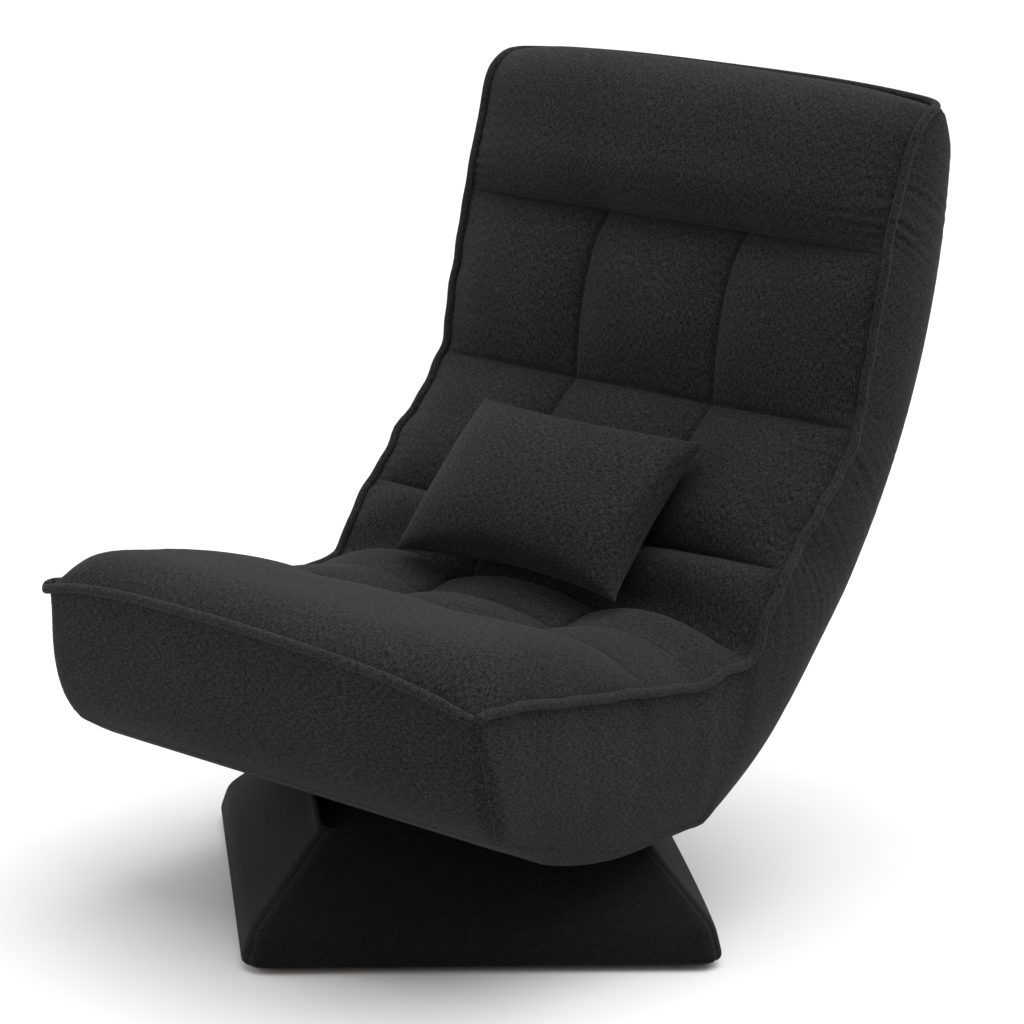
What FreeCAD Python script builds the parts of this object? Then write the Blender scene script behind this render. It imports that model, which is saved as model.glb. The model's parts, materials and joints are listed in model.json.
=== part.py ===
import FreeCAD, Part
import math
import os

from FreeCAD import Vector

# A swivel floor chair, in millimetres. +Z is up, the chair faces -Y, and the
# origin is on the floor, on the axis about which the seat turns.

# Base: a low padded pyramid that stands turned under the seat.
BASE_WIDTH = 476.0  # across the flats, at the floor
FOOT_HEIGHT = 41.0  # steep foot below the slopes
FOOT_DRAW = 16.5  # how far each side of the foot draws in
BASE_PEAK = 289.0  # height at which the four slopes would meet
BASE_TURN = 45.5  # degrees that the base stands turned from the seat
BASE_TOP = 108.0  # upper face of the steel top plate
BASE_CORNER_ROUND = 15.0
BASE_HEM_ROUND = 8.0
COVER_WALL = 8.0  # padded cover, measured level
COVER_TOP = 3.0  # cover on the top plate
COVER_FIT = 0.3
BOARD_WALL = 6.5  # side boards, measured level
HEM_THICK = 2.0
HEM_LAP = 16.0  # how far the hem reaches in under the floor frame
CLOTH = 2.0  # bottom and rear panels of the pad
PANEL_FIT = 0.7  # between those panels and the foam
DUST_CLOTH = 1.0
GLIDE_HEIGHT = 4.0
GLIDE_RADIUS = 14.0
GLIDE_SHANK = 3.0
FLOOR_TUBE = 20.0  # square tube of the floor frame
FLOOR_WALL = 1.5
POST_TUBE = 18.0
POST_INSET = 18.0  # post feet stand this far in from the frame's edge
TOP_PLATE = 4.0

# Swivel bearing.
RACE_HALF = 92.0  # lower race is a square plate
RACE_PLATE = 3.0
RACE_RADIUS = 70.0
UPPER_RACE_RADIUS = 96.0
BALL_RADIUS = 3.0
BALL_COUNT = 16
BALL_PLAY = 0.1
GROOVE_DEPTH = 1.5
CAGE_PLATE = 1.0
CAGE_HALF_WIDTH = 8.0
RIVET_RADIUS = 25.0
RIVET_WALL = 3.0
RIVET_LIP = 6.0
RIVET_LIP_THICK = 2.0
RIVET_PLAY = 0.15
RIVET_WELL = 3.0  # room round the rivet's lips
BOLT_RADIUS = 3.0
BOLT_HEAD = 5.5
BOLT_HEAD_THICK = 2.6
BOLT_FIT = 0.2
NUT_FLATS = 10.0
NUT_THICK = 5.0
LOWER_BOLT_AT = 78.0
UPPER_BOLT_X = 75.0
UPPER_BOLT_Y = 26.0

# Seat frame.
MOUNT_HALF = 100.0
MOUNT_PLATE = 4.0
CROSSBAR_WIDTH = 40.0
CROSSBAR_HEIGHT = 22.0
CROSSBAR_WALL = 2.0
CROSSBAR_AT = 60.0  # from the swivel axis to each crossbar
TUBE_RADIUS = 11.0
TUBE_WALL = 1.5
TIE_RADIUS = 9.5
RAIL_INSET = 40.0  # seat rails in from the pad's sides
SEAT_RAIL_RISE = 17.0  # degrees that the rails climb to the front
RAIL_BEND_AT = -105.0
RAIL_BEND_RADIUS = 200.0
FRAME_CORNER = 55.0
FRONT_BAR_SETBACK = 68.0  # front bar behind the front welt
SEAT_TIE_AT = 30.0
RAIL_END_GAP = 27.0  # rails stop this far short of the recline axis

# Recline hinge.
PIVOT_Y = 72.0
PIVOT_RISE = 15.0  # above the rails
HINGE_RADIUS = 19.0
HINGE_ARM_RADIUS = 11.0
HINGE_ARM = 72.0
HINGE_ROOM = 3.0  # between the leaves and the foam
LEAF = 4.0
LEAF_WASHER = 1.0
LEAF_WASHER_RADIUS = 13.0
PIN_RADIUS = 4.0
PIN_PLAY = 0.1
PIN_HEAD = 9.0
PIN_HEAD_THICK = 4.0
PIN_NUT_FLATS = 13.0
PIN_NUT_THICK = 6.0
PIN_END = 2.0
RECLINE = 40.0  # degrees of travel
RECLINE_SPARE = 3.0

# Back frame: each rail runs straight up from the hinge, then sweeps upright.
BACK_LEAN = 45.0  # degrees from level at the hinge
BACK_RAIL_DROP = 14.0  # rail line behind the recline axis
BACK_STRAIGHT = 190.0
BACK_RADIUS = 640.0
BACK_TURN = 43.0  # degrees
BACK_RAIL_START = 42.0
BACK_BAR_RISE = 44.7  # top bar above the end of the sweep
BACK_CORNER = 40.0
BACK_TIE_LOW = 122.0  # lower tie, along the rail line
BACK_TIE_SHARE = 0.5  # upper tie, as a share of the sweep

# Webbing.
STRAP_WIDTH = 60.0
STRAP_THICK = 1.6
STRAP_FIT = 0.9
STRAP_HOOK = 150.0  # degrees that each end wraps round its rail
SEAT_STRAPS = 5
SEAT_STRAP_SPREAD = 0.68  # share of the width between the rails
BACK_STRAPS = 5
BACK_STRAP_SPREAD = 0.933  # share of the sweep

# Pad, as seen from the side. Rows are named from the crease outwards.
PAD_WIDTH = 540.0
SKIRT = 12.0  # side walls that hang beside the frame
SIDE_BULGE = 7.0
SEAM_DROP = 20.0  # bottom side seam below the rails
CREASE_DEPTH = 120.0  # crease above the recline axis
CREASE_ANGLE = 71.6  # degrees from level
CREASE_GAP = 0.6
ROW_B = 80.4
ROW_B_SLOPE = -5.7  # degrees
ROW_A = 91.0
ROW_A_SLOPE = 7.0  # degrees
FRONT_ROLL = 273.5
FRONT_ROLL_SLOPE = 7.8  # degrees
FRONT_HEIGHT = 139.5
FRONT_RAKE = 72.5  # degrees from level
FRONT_BULGE = 9.0
FRONT_WALL = 9.0
BOTTOM_BEND_AHEAD = 3.0  # bottom seam turns up this far ahead of the front crossbar
FRAME_ROOM = 3.0  # between the webbing and the foam
ROLL_CROWN = 66.0
SEAT_CROWN = 38.0
ROW_B_CROWN = 45.0
SEAT_TUFT = 15.0
ROW_C_AT = 157.0
SEAM_3_SHARE = 0.0375  # places up the back as shares of its sweep
ROW_D_SHARE = 0.2332
SEAM_2_SHARE = 0.4372
ROW_E_SHARE = 0.6704
SEAM_1_SHARE = 0.8661
HEAD_RISE = 17.7  # above the end of the sweep
PAD_TOP_RISE = 82.0
ROW_C_DEPTH = 82.0  # welt in front of the rail line
SEAM_3_DEPTH = 84.0
ROW_D_DEPTH = 75.0
SEAM_2_DEPTH = 65.0
ROW_E_DEPTH = 79.0
SEAM_1_DEPTH = 83.0
HEAD_DEPTH = 67.0
PAD_TOP_DEPTH = 44.0
BACK_REAR = 28.0  # rear edge behind the rail line
PAD_TOP_REAR = 2.0
PAD_TOP_BULGE = 21.4
BACK_CROWN = 26.0
BACK_TUFT = -14.0
HEAD_CROWN = 36.0
REAR_TRIM = 3.0  # foam trimmed off to seat the rear panel
BACK_RECESS = 17.0  # frame room in front of the rail line
TOP_WALL = 20.0
WELT_RADIUS = 4.5
WELT_FIT = 1.2
WELT_TILT = 20.0  # degrees
WELT_BEND = 20.0
WELT_STEPS = 5
WELT_CORNER = 6.0

# Loose pillow.
PILLOW_WIDTH = 292.0
PILLOW_HEIGHT = 190.0
PILLOW_FRONT = 42.0  # bulge towards the sitter
PILLOW_REAR = 33.0  # flatter where it leans on the back
PILLOW_EDGE = 2.5
PILLOW_DRAW = 7.0  # sides pull in between the corners
PILLOW_LEAN = 45.0  # degrees from level
PILLOW_AHEAD = 51.0  # lower edge ahead of the crease
PILLOW_ABOVE = 42.6  # lower edge above the crease

# Heights that follow from the stack.
HEM_Z = GLIDE_HEIGHT
FLOOR_FRAME_Z = HEM_Z + HEM_THICK
BALL_Z = BASE_TOP + RACE_PLATE - GROOVE_DEPTH + BALL_RADIUS
UPPER_RACE_Z = BALL_Z + BALL_RADIUS - GROOVE_DEPTH
MOUNT_Z = UPPER_RACE_Z + RACE_PLATE
CROSSBAR_Z = MOUNT_Z + MOUNT_PLATE
RAIL_Z = CROSSBAR_Z + CROSSBAR_HEIGHT + TUBE_RADIUS
PIVOT_Z = RAIL_Z + PIVOT_RISE
SEAM_Z = RAIL_Z - SEAM_DROP

# Places across the chair, outwards from the seat rails.
SEAT_RAIL_X = PAD_WIDTH / 2 - RAIL_INSET
SEAT_STRAP_PITCH = 2 * SEAT_RAIL_X * SEAT_STRAP_SPREAD / (SEAT_STRAPS - 1)
SEAT_LEAF_X = SEAT_RAIL_X + TUBE_RADIUS
BACK_LEAF_X = SEAT_LEAF_X + LEAF + LEAF_WASHER
BACK_RAIL_X = BACK_LEAF_X - TUBE_RADIUS
PAD_HALF = PAD_WIDTH / 2
RECESS_HALF = PAD_HALF - SKIRT
BOTTOM_BEND_AT = -CROSSBAR_AT - CROSSBAR_WIDTH / 2 - BOTTOM_BEND_AHEAD

# Places up the back, along its rail line.
SWEEP_LENGTH = BACK_RADIUS * math.radians(BACK_TURN)
SEAM_3_AT = BACK_STRAIGHT + SEAM_3_SHARE * SWEEP_LENGTH
ROW_D_AT = BACK_STRAIGHT + ROW_D_SHARE * SWEEP_LENGTH
SEAM_2_AT = BACK_STRAIGHT + SEAM_2_SHARE * SWEEP_LENGTH
ROW_E_AT = BACK_STRAIGHT + ROW_E_SHARE * SWEEP_LENGTH
SEAM_1_AT = BACK_STRAIGHT + SEAM_1_SHARE * SWEEP_LENGTH
HEAD_AT = BACK_STRAIGHT + SWEEP_LENGTH + HEAD_RISE
PAD_TOP_AT = BACK_STRAIGHT + SWEEP_LENGTH + PAD_TOP_RISE
BACK_BAR_AT = BACK_STRAIGHT + SWEEP_LENGTH + BACK_BAR_RISE
BACK_TIES_AT = (BACK_TIE_LOW, BACK_STRAIGHT + BACK_TIE_SHARE * SWEEP_LENGTH)
BACK_STRAP_PITCH = BACK_STRAP_SPREAD * SWEEP_LENGTH / (BACK_STRAPS - 1)

X_AXIS = Vector(1, 0, 0)
Y_AXIS = Vector(0, 1, 0)
Z_AXIS = Vector(0, 0, 1)
ORIGIN = Vector(0, 0, 0)
FAR = 3 * PAD_WIDTH
STRAIGHT_ENOUGH = math.radians(0.2)

PIECES = {}


def keep(name, *solids):
    """Files one or more solids under the name of their node."""
    PIECES[name] = solids[0] if len(solids) == 1 else Part.makeCompound(list(solids))


def line(a, b):
    return Part.LineSegment(a, b).toShape()


def arc(a, middle, b):
    return Part.Arc(a, middle, b).toShape()


def step(point, length, degrees):
    """Moves a (y, z) point by a length at an angle from level."""
    turn = math.radians(degrees)
    return (point[0] + length * math.cos(turn), point[1] + length * math.sin(turn))


def between(a, b, share):
    return (a[0] + (b[0] - a[0]) * share, a[1] + (b[1] - a[1]) * share)


def spot(x, point):
    return Vector(x, point[0], point[1])


def outline(points):
    """Flat face through corner points."""
    return Part.Face(Part.makePolygon(points + points[:1]))


def side_prism(points, x_from, x_to):
    """Extrudes an outline of (y, z) points across the chair."""
    face = outline([spot(x_from, p) for p in points])
    return face.extrude(Vector(x_to - x_from, 0, 0))


def mirrored(solid):
    return solid.mirror(ORIGIN, X_AXIS)


def rod(a, b, radius):
    return Part.makeCylinder(radius, (b - a).Length, a, b - a)


def hexagon(flats, height, place, axis):
    """Hexagonal prism that stands on a place along an axis."""
    reach = flats / math.sqrt(3)
    corners = []
    for i in range(6):
        turn = math.radians(60 * i)
        corners.append(Vector(reach * math.cos(turn), reach * math.sin(turn), 0))
    prism = outline(corners).extrude(Vector(0, 0, height))
    prism.Placement = FreeCAD.Placement(place, FreeCAD.Rotation(Z_AXIS, axis))
    return prism


def bent_path(points, radii):
    """Straight runs joined by tangent arcs; one radius for each inner corner."""
    edges = []
    start = points[0]
    for before, corner, after, radius in zip(points, points[1:], points[2:], radii):
        back = (before - corner).normalize()
        on = (after - corner).normalize()
        half = (math.pi - back.getAngle(on)) / 2
        if half < STRAIGHT_ENOUGH:
            continue
        reach = radius * math.tan(half)
        first = corner + back * reach
        last = corner + on * reach
        inward = (back + on).normalize()
        middle = corner + inward * (radius / math.cos(half) - radius)
        if (first - start).Length > 1e-6:
            edges.append(line(start, first))
        edges.append(arc(first, middle, last))
        start = last
    edges.append(line(start, points[-1]))
    return Part.Wire(edges)


def swept(path, radius):
    """Round bar along a path."""
    first = path.OrderedEdges[0]
    start = first.valueAt(first.FirstParameter)
    heading = first.tangentAt(first.FirstParameter)
    ring = Part.Wire(Part.makeCircle(radius, start, heading))
    return path.makePipeShell([ring], True, False)


def tube(path, radius, wall):
    return swept(path, radius).cut(swept(path, radius - wall))


# Base

def slope_half(z):
    """Half width of the base at a height: a steep foot, then the slopes."""
    if z <= FOOT_HEIGHT:
        return BASE_WIDTH / 2 - FOOT_DRAW * z / FOOT_HEIGHT
    return (BASE_WIDTH / 2 - FOOT_DRAW) * (BASE_PEAK - z) / (BASE_PEAK - FOOT_HEIGHT)


def pyramid(inset, low, high):
    """Block between two heights, set in from the base's outline."""
    rings = []
    for z in (low, FOOT_HEIGHT, high):
        h = slope_half(z) - inset
        corners = [Vector(-h, -h, z), Vector(h, -h, z), Vector(h, h, z), Vector(-h, h, z)]
        rings.append(Part.makePolygon(corners + corners[:1]))
    return Part.makeLoft(rings, True, True)


def soft_square(half, z):
    """Level square outline with rounded corners."""
    flat = half - BASE_CORNER_ROUND
    knee = flat + BASE_CORNER_ROUND * math.sqrt(0.5)
    edges = []
    for i in range(4):
        turn = FreeCAD.Rotation(Z_AXIS, 90 * i)
        right = turn.multVec(Vector(half, -flat, z))
        corner = turn.multVec(Vector(half, flat, z))
        middle = turn.multVec(Vector(knee, knee, z))
        after = turn.multVec(Vector(flat, half, z))
        edges.append(line(right, corner))
        edges.append(arc(corner, middle, after))
    return Part.Wire(edges)


def square_block(half, low, high):
    return Part.makeBox(2 * half, 2 * half, high - low, Vector(-half, -half, low))


def corners_at(distance):
    return [Vector(sx * distance, sy * distance, 0) for sx in (-1, 1) for sy in (-1, 1)]


def turned(solid):
    """Stands a piece of the base turned under the seat."""
    placed = solid.copy()
    placed.rotate(ORIGIN, Z_AXIS, BASE_TURN)
    return placed


def make_base():
    board_top = BASE_TOP - TOP_PLATE
    frame_top = FLOOR_FRAME_Z + FLOOR_TUBE
    board_inset = COVER_WALL + COVER_FIT
    frame_half = slope_half(frame_top) - board_inset - BOARD_WALL - COVER_FIT
    frame_inner = frame_half - FLOOR_TUBE
    hem_open = frame_inner - HEM_LAP
    glides_at = frame_half - FLOOR_TUBE / 2

    glide = Part.makeCylinder(GLIDE_RADIUS, GLIDE_HEIGHT)
    glide = glide.makeChamfer(GLIDE_HEIGHT / 4, [e for e in glide.Edges if e.BoundBox.ZMax < 0.1])
    shank = Part.makeCylinder(GLIDE_SHANK, FLOOR_FRAME_Z + FLOOR_TUBE / 2)
    glide = glide.fuse(shank).removeSplitter()
    shank_hole = Part.makeCylinder(GLIDE_SHANK + BOLT_FIT, FLOOR_FRAME_Z + FLOOR_TUBE / 2 + BOLT_FIT)
    glides = []
    holes = []
    for corner in corners_at(glides_at):
        glides.append(turned(glide.translated(corner)))
        holes.append(shank_hole.translated(corner))
    middle = Part.makeCylinder(GLIDE_RADIUS, FLOOR_FRAME_Z)
    middle = middle.makeChamfer(GLIDE_HEIGHT / 4, [e for e in middle.Edges if e.BoundBox.ZMax < 0.1])
    middle = middle.fuse(shank).removeSplitter()
    keep("floor_glides", *glides, middle)

    frame = square_block(frame_half, FLOOR_FRAME_Z, frame_top)
    frame = frame.cut(square_block(frame_inner, FLOOR_FRAME_Z - 1, frame_top + 1))
    hollow_low = FLOOR_FRAME_Z + FLOOR_WALL
    hollow_high = frame_top - FLOOR_WALL
    hollow = square_block(frame_half - FLOOR_WALL, hollow_low, hollow_high)
    hollow = hollow.cut(square_block(frame_inner + FLOOR_WALL, hollow_low - 1, hollow_high + 1))
    frame = frame.cut(hollow)
    for hole in holes:
        frame = frame.cut(hole)
    keep("base_floor_frame", turned(frame))

    plate_half = slope_half(BASE_TOP) - COVER_WALL - COVER_FIT
    slab = Part.makeBox(FAR, FAR, board_top - frame_top, Vector(-FAR / 2, -FAR / 2, frame_top))
    posts = []
    post_foot = frame_half - POST_INSET
    post_head = post_foot - slope_half(frame_top) + slope_half(board_top)
    for foot, head in zip(corners_at(post_foot), corners_at(post_head)):
        low = foot + Vector(0, 0, frame_top)
        high = head + Vector(0, 0, board_top)
        along = (high - low).normalize()
        length = (high - low).Length + 4 * POST_TUBE
        post = Part.makeBox(POST_TUBE, POST_TUBE, length, Vector(-POST_TUBE / 2, -POST_TUBE / 2, 0))
        bore = POST_TUBE - 2 * FLOOR_WALL
        post = post.cut(Part.makeBox(bore, bore, length, Vector(-bore / 2, -bore / 2, 0)))
        post.rotate(ORIGIN, Z_AXIS, math.degrees(math.atan2(along.y, along.x)))
        tilt = math.degrees(math.acos(along.z))
        post.rotate(ORIGIN, Vector(-along.y, along.x, 0), tilt)
        post.translate(low - along * (2 * POST_TUBE))
        posts.append(turned(post.common(slab)))
    keep("base_corner_posts", *posts)

    plate = square_block(plate_half, board_top, BASE_TOP)
    plate = plate.makeFillet(BASE_CORNER_ROUND, [e for e in plate.Edges if e.BoundBox.ZLength > 1])
    well = RIVET_RADIUS + RIVET_LIP + RIVET_WELL
    plate = plate.cut(Part.makeCylinder(well, FAR))
    for corner in corners_at(LOWER_BOLT_AT):
        plate = plate.cut(Part.makeCylinder(BOLT_RADIUS + BOLT_FIT, FAR).translated(corner))
    keep("base_top_plate", turned(plate))

    shell = pyramid(board_inset, FLOOR_FRAME_Z, board_top)
    shell = shell.cut(pyramid(board_inset + BOARD_WALL, FLOOR_FRAME_Z - 1, board_top + 1))
    quarter = outline([Vector(COVER_FIT, 0, 0), Vector(FAR, COVER_FIT - FAR, 0), Vector(FAR, FAR - COVER_FIT, 0)])
    quarter = quarter.extrude(Vector(0, 0, BASE_PEAK))
    boards = []
    for i in range(4):
        wedge = quarter.copy()
        wedge.rotate(ORIGIN, Z_AXIS, 90 * i)
        boards.append(turned(shell.common(wedge)))
    keep("base_side_boards", *boards)

    cover_top = BASE_TOP + COVER_TOP
    soft = BASE_HEM_ROUND * (1 - math.sqrt(0.5))
    rings = [
        soft_square(slope_half(HEM_Z) - BASE_HEM_ROUND, HEM_Z),
        soft_square(slope_half(HEM_Z + soft) - soft, HEM_Z + soft),
        soft_square(slope_half(HEM_Z + BASE_HEM_ROUND), HEM_Z + BASE_HEM_ROUND),
        soft_square(slope_half(FOOT_HEIGHT), FOOT_HEIGHT),
        soft_square(slope_half(cover_top), cover_top),
    ]
    cover = Part.makeLoft(rings, True, True)
    cover = cover.cut(pyramid(COVER_WALL, FLOOR_FRAME_Z, BASE_TOP))
    cover = cover.cut(square_block(hem_open, HEM_Z - 1, FLOOR_FRAME_Z + 1))
    opening = math.sqrt(2) * RACE_HALF + COVER_TOP
    cover = cover.cut(Part.makeCylinder(opening, FAR, Vector(0, 0, BASE_TOP - 1)))
    for hole in holes:
        cover = cover.cut(hole)
    keep("base_cover", turned(cover))

    cloth = square_block(frame_inner - COVER_FIT, FLOOR_FRAME_Z, FLOOR_FRAME_Z + DUST_CLOTH)
    keep("base_dust_cloth", turned(cloth.cut(shank_hole)))

    tie_low = Vector(-frame_inner, -FLOOR_TUBE / 2, FLOOR_FRAME_Z + DUST_CLOTH + COVER_FIT)
    tie_high = Vector(frame_inner, FLOOR_TUBE / 2, frame_top)
    wall = Vector(0, FLOOR_WALL, FLOOR_WALL)
    span = tie_high - tie_low
    bore = span - wall * 2
    tie = Part.makeBox(span.x, span.y, span.z, tie_low)
    tie = tie.cut(Part.makeBox(bore.x, bore.y, bore.z, tie_low + wall))
    keep("base_floor_tie", turned(tie.cut(shank_hole)))


# Swivel bearing

def make_bearing():
    groove = Part.makeTorus(RACE_RADIUS, BALL_RADIUS + BALL_PLAY, Vector(0, 0, BALL_Z))
    seat_top = BASE_TOP + RACE_PLATE

    lower = square_block(RACE_HALF, BASE_TOP, seat_top)
    lower = lower.makeFillet(BOLT_HEAD, [e for e in lower.Edges if e.BoundBox.ZLength > 1])
    lower = lower.cut(Part.makeCylinder(RIVET_RADIUS, FAR)).cut(groove)
    bolts = []
    nuts = []
    for corner in corners_at(LOWER_BOLT_AT):
        lower = lower.cut(Part.makeCylinder(BOLT_RADIUS + BOLT_FIT, FAR).translated(corner))
        nut_z = BASE_TOP - TOP_PLATE - NUT_THICK
        length = seat_top - nut_z
        head = Part.makeCylinder(BOLT_HEAD, BOLT_HEAD_THICK, Vector(0, 0, seat_top))
        head = head.makeFillet(BOLT_HEAD_THICK / 3, [e for e in head.Edges if e.BoundBox.ZMin > seat_top + 1])
        bolt = head.fuse(Part.makeCylinder(BOLT_RADIUS, length, Vector(0, 0, nut_z))).removeSplitter()
        nut = hexagon(NUT_FLATS, NUT_THICK, Vector(0, 0, nut_z), Z_AXIS)
        nut = nut.cut(Part.makeCylinder(BOLT_RADIUS, FAR))
        bolts.append(turned(bolt.translated(corner)))
        nuts.append(turned(nut.translated(corner)))
    keep("bearing_lower_race", turned(lower))
    keep("lower_bolts", *bolts)
    keep("lower_nuts", *nuts)

    upper = Part.makeCylinder(UPPER_RACE_RADIUS, RACE_PLATE, Vector(0, 0, UPPER_RACE_Z))
    upper = upper.cut(Part.makeCylinder(RIVET_RADIUS + RIVET_PLAY, FAR)).cut(groove)
    mount = square_block(MOUNT_HALF, MOUNT_Z, CROSSBAR_Z)
    mount = mount.makeFillet(BASE_CORNER_ROUND, [e for e in mount.Edges if e.BoundBox.ZLength > 1])
    mount = mount.cut(Part.makeCylinder(RIVET_RADIUS + RIVET_LIP + RIVET_WELL, FAR))
    bolts = []
    nuts = []
    for sx in (-1, 1):
        for sy in (-1, 1):
            place = Vector(sx * UPPER_BOLT_X, sy * UPPER_BOLT_Y, 0)
            sink = BOLT_HEAD - BOLT_RADIUS
            head = Part.makeCone(BOLT_HEAD, BOLT_RADIUS, sink, Vector(0, 0, UPPER_RACE_Z))
            length = CROSSBAR_Z + NUT_THICK - UPPER_RACE_Z
            bolt = head.fuse(Part.makeCylinder(BOLT_RADIUS, length, Vector(0, 0, UPPER_RACE_Z)))
            nut = hexagon(NUT_FLATS, NUT_THICK, Vector(0, 0, CROSSBAR_Z), Z_AXIS)
            nut = nut.cut(Part.makeCylinder(BOLT_RADIUS, FAR))
            bolts.append(bolt.removeSplitter().translated(place))
            nuts.append(nut.translated(place))
            upper = upper.cut(head.translated(place))
            hole = Part.makeCylinder(BOLT_RADIUS + BOLT_FIT, FAR).translated(place)
            upper = upper.cut(hole)
            mount = mount.cut(hole)
    keep("bearing_upper_race", upper)
    keep("upper_bolts", *bolts)
    keep("upper_nuts", *nuts)
    keep("seat_mount_plate", mount)

    ring = Part.makeCylinder(RACE_RADIUS + CAGE_HALF_WIDTH, CAGE_PLATE, Vector(0, 0, BALL_Z - CAGE_PLATE / 2))
    ring = ring.cut(Part.makeCylinder(RACE_RADIUS - CAGE_HALF_WIDTH, FAR))
    balls = []
    for i in range(BALL_COUNT):
        turn = 2 * math.pi * i / BALL_COUNT
        place = Vector(RACE_RADIUS * math.cos(turn), RACE_RADIUS * math.sin(turn), BALL_Z)
        balls.append(Part.makeSphere(BALL_RADIUS, place))
        pocket = Part.makeCylinder(BALL_RADIUS + 2 * BALL_PLAY, FAR)
        ring = ring.cut(pocket.translated(Vector(place.x, place.y, 0)))
    keep("ball_cage", ring)
    keep("bearing_balls", *balls)

    lip = RIVET_RADIUS + RIVET_LIP
    rivet_foot = BASE_TOP - RIVET_LIP_THICK
    rivet_lip = MOUNT_Z + RIVET_PLAY
    rivet = Part.makeCylinder(RIVET_RADIUS, rivet_lip - rivet_foot, Vector(0, 0, rivet_foot))
    rivet = rivet.fuse(Part.makeCylinder(lip, RIVET_LIP_THICK, Vector(0, 0, rivet_foot)))
    rivet = rivet.fuse(Part.makeCylinder(lip, RIVET_LIP_THICK, Vector(0, 0, rivet_lip)))
    rivet = rivet.cut(Part.makeCylinder(RIVET_RADIUS - RIVET_WALL, FAR)).removeSplitter()
    keep("bearing_rivet", rivet)


# Side view of the pad

PIVOT = (PIVOT_Y, PIVOT_Z)
CREASE = step(PIVOT, CREASE_DEPTH, CREASE_ANGLE)
SEAM_5 = step(CREASE, ROW_B, 180 - ROW_B_SLOPE)
SEAM_6 = step(SEAM_5, ROW_A, 180 - ROW_A_SLOPE)
FRONT_TOP = step(SEAM_6, FRONT_ROLL, 180 - FRONT_ROLL_SLOPE)
FRONT_LOW = step(FRONT_TOP, FRONT_HEIGHT, -FRONT_RAKE)
BOTTOM_BEND = (BOTTOM_BEND_AT, SEAM_Z)
SPLIT_LOW = step(PIVOT, (PIVOT_Z - SEAM_Z) / math.sin(math.radians(CREASE_ANGLE)), CREASE_ANGLE + 180)


def bottom_at(y):
    """Bottom side seam of the seat below a given y."""
    if y >= BOTTOM_BEND_AT:
        return (y, SEAM_Z)
    share = (y - BOTTOM_BEND_AT) / (FRONT_LOW[0] - BOTTOM_BEND_AT)
    return (y, SEAM_Z + share * (FRONT_LOW[1] - SEAM_Z))


RAIL_FOOT = step(PIVOT, BACK_RAIL_DROP, BACK_LEAN - 90)
RAIL_SWEEP = step(RAIL_FOOT, BACK_STRAIGHT, BACK_LEAN)
SWEEP_CENTRE = step(RAIL_SWEEP, BACK_RADIUS, BACK_LEAN + 90)
SWEEP_END = step(SWEEP_CENTRE, BACK_RADIUS, BACK_LEAN + BACK_TURN - 90)


def rail_heading(along):
    """Heading of the back's rail line, in degrees from level."""
    over = min(max(along - BACK_STRAIGHT, 0), SWEEP_LENGTH)
    return BACK_LEAN + math.degrees(over / BACK_RADIUS)


def back_at(along, ahead):
    """Point of the side view, measured along the rail line and in front of it."""
    heading = rail_heading(along)
    if along <= BACK_STRAIGHT:
        foot = step(RAIL_FOOT, along, heading)
    elif along <= BACK_STRAIGHT + SWEEP_LENGTH:
        foot = step(SWEEP_CENTRE, BACK_RADIUS, heading - 90)
    else:
        foot = step(SWEEP_END, along - BACK_STRAIGHT - SWEEP_LENGTH, heading)
    return step(foot, ahead, heading + 90)


# Seat and back frames

def seat_bars():
    """Side view of the seat frame's front bar and rear tie."""
    front_y = FRONT_TOP[0] + FRONT_BAR_SETBACK
    front_z = RAIL_Z + (RAIL_BEND_AT - front_y) * math.tan(math.radians(SEAT_RAIL_RISE))
    return (front_y, front_z), (SEAT_TIE_AT, RAIL_Z)


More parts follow.
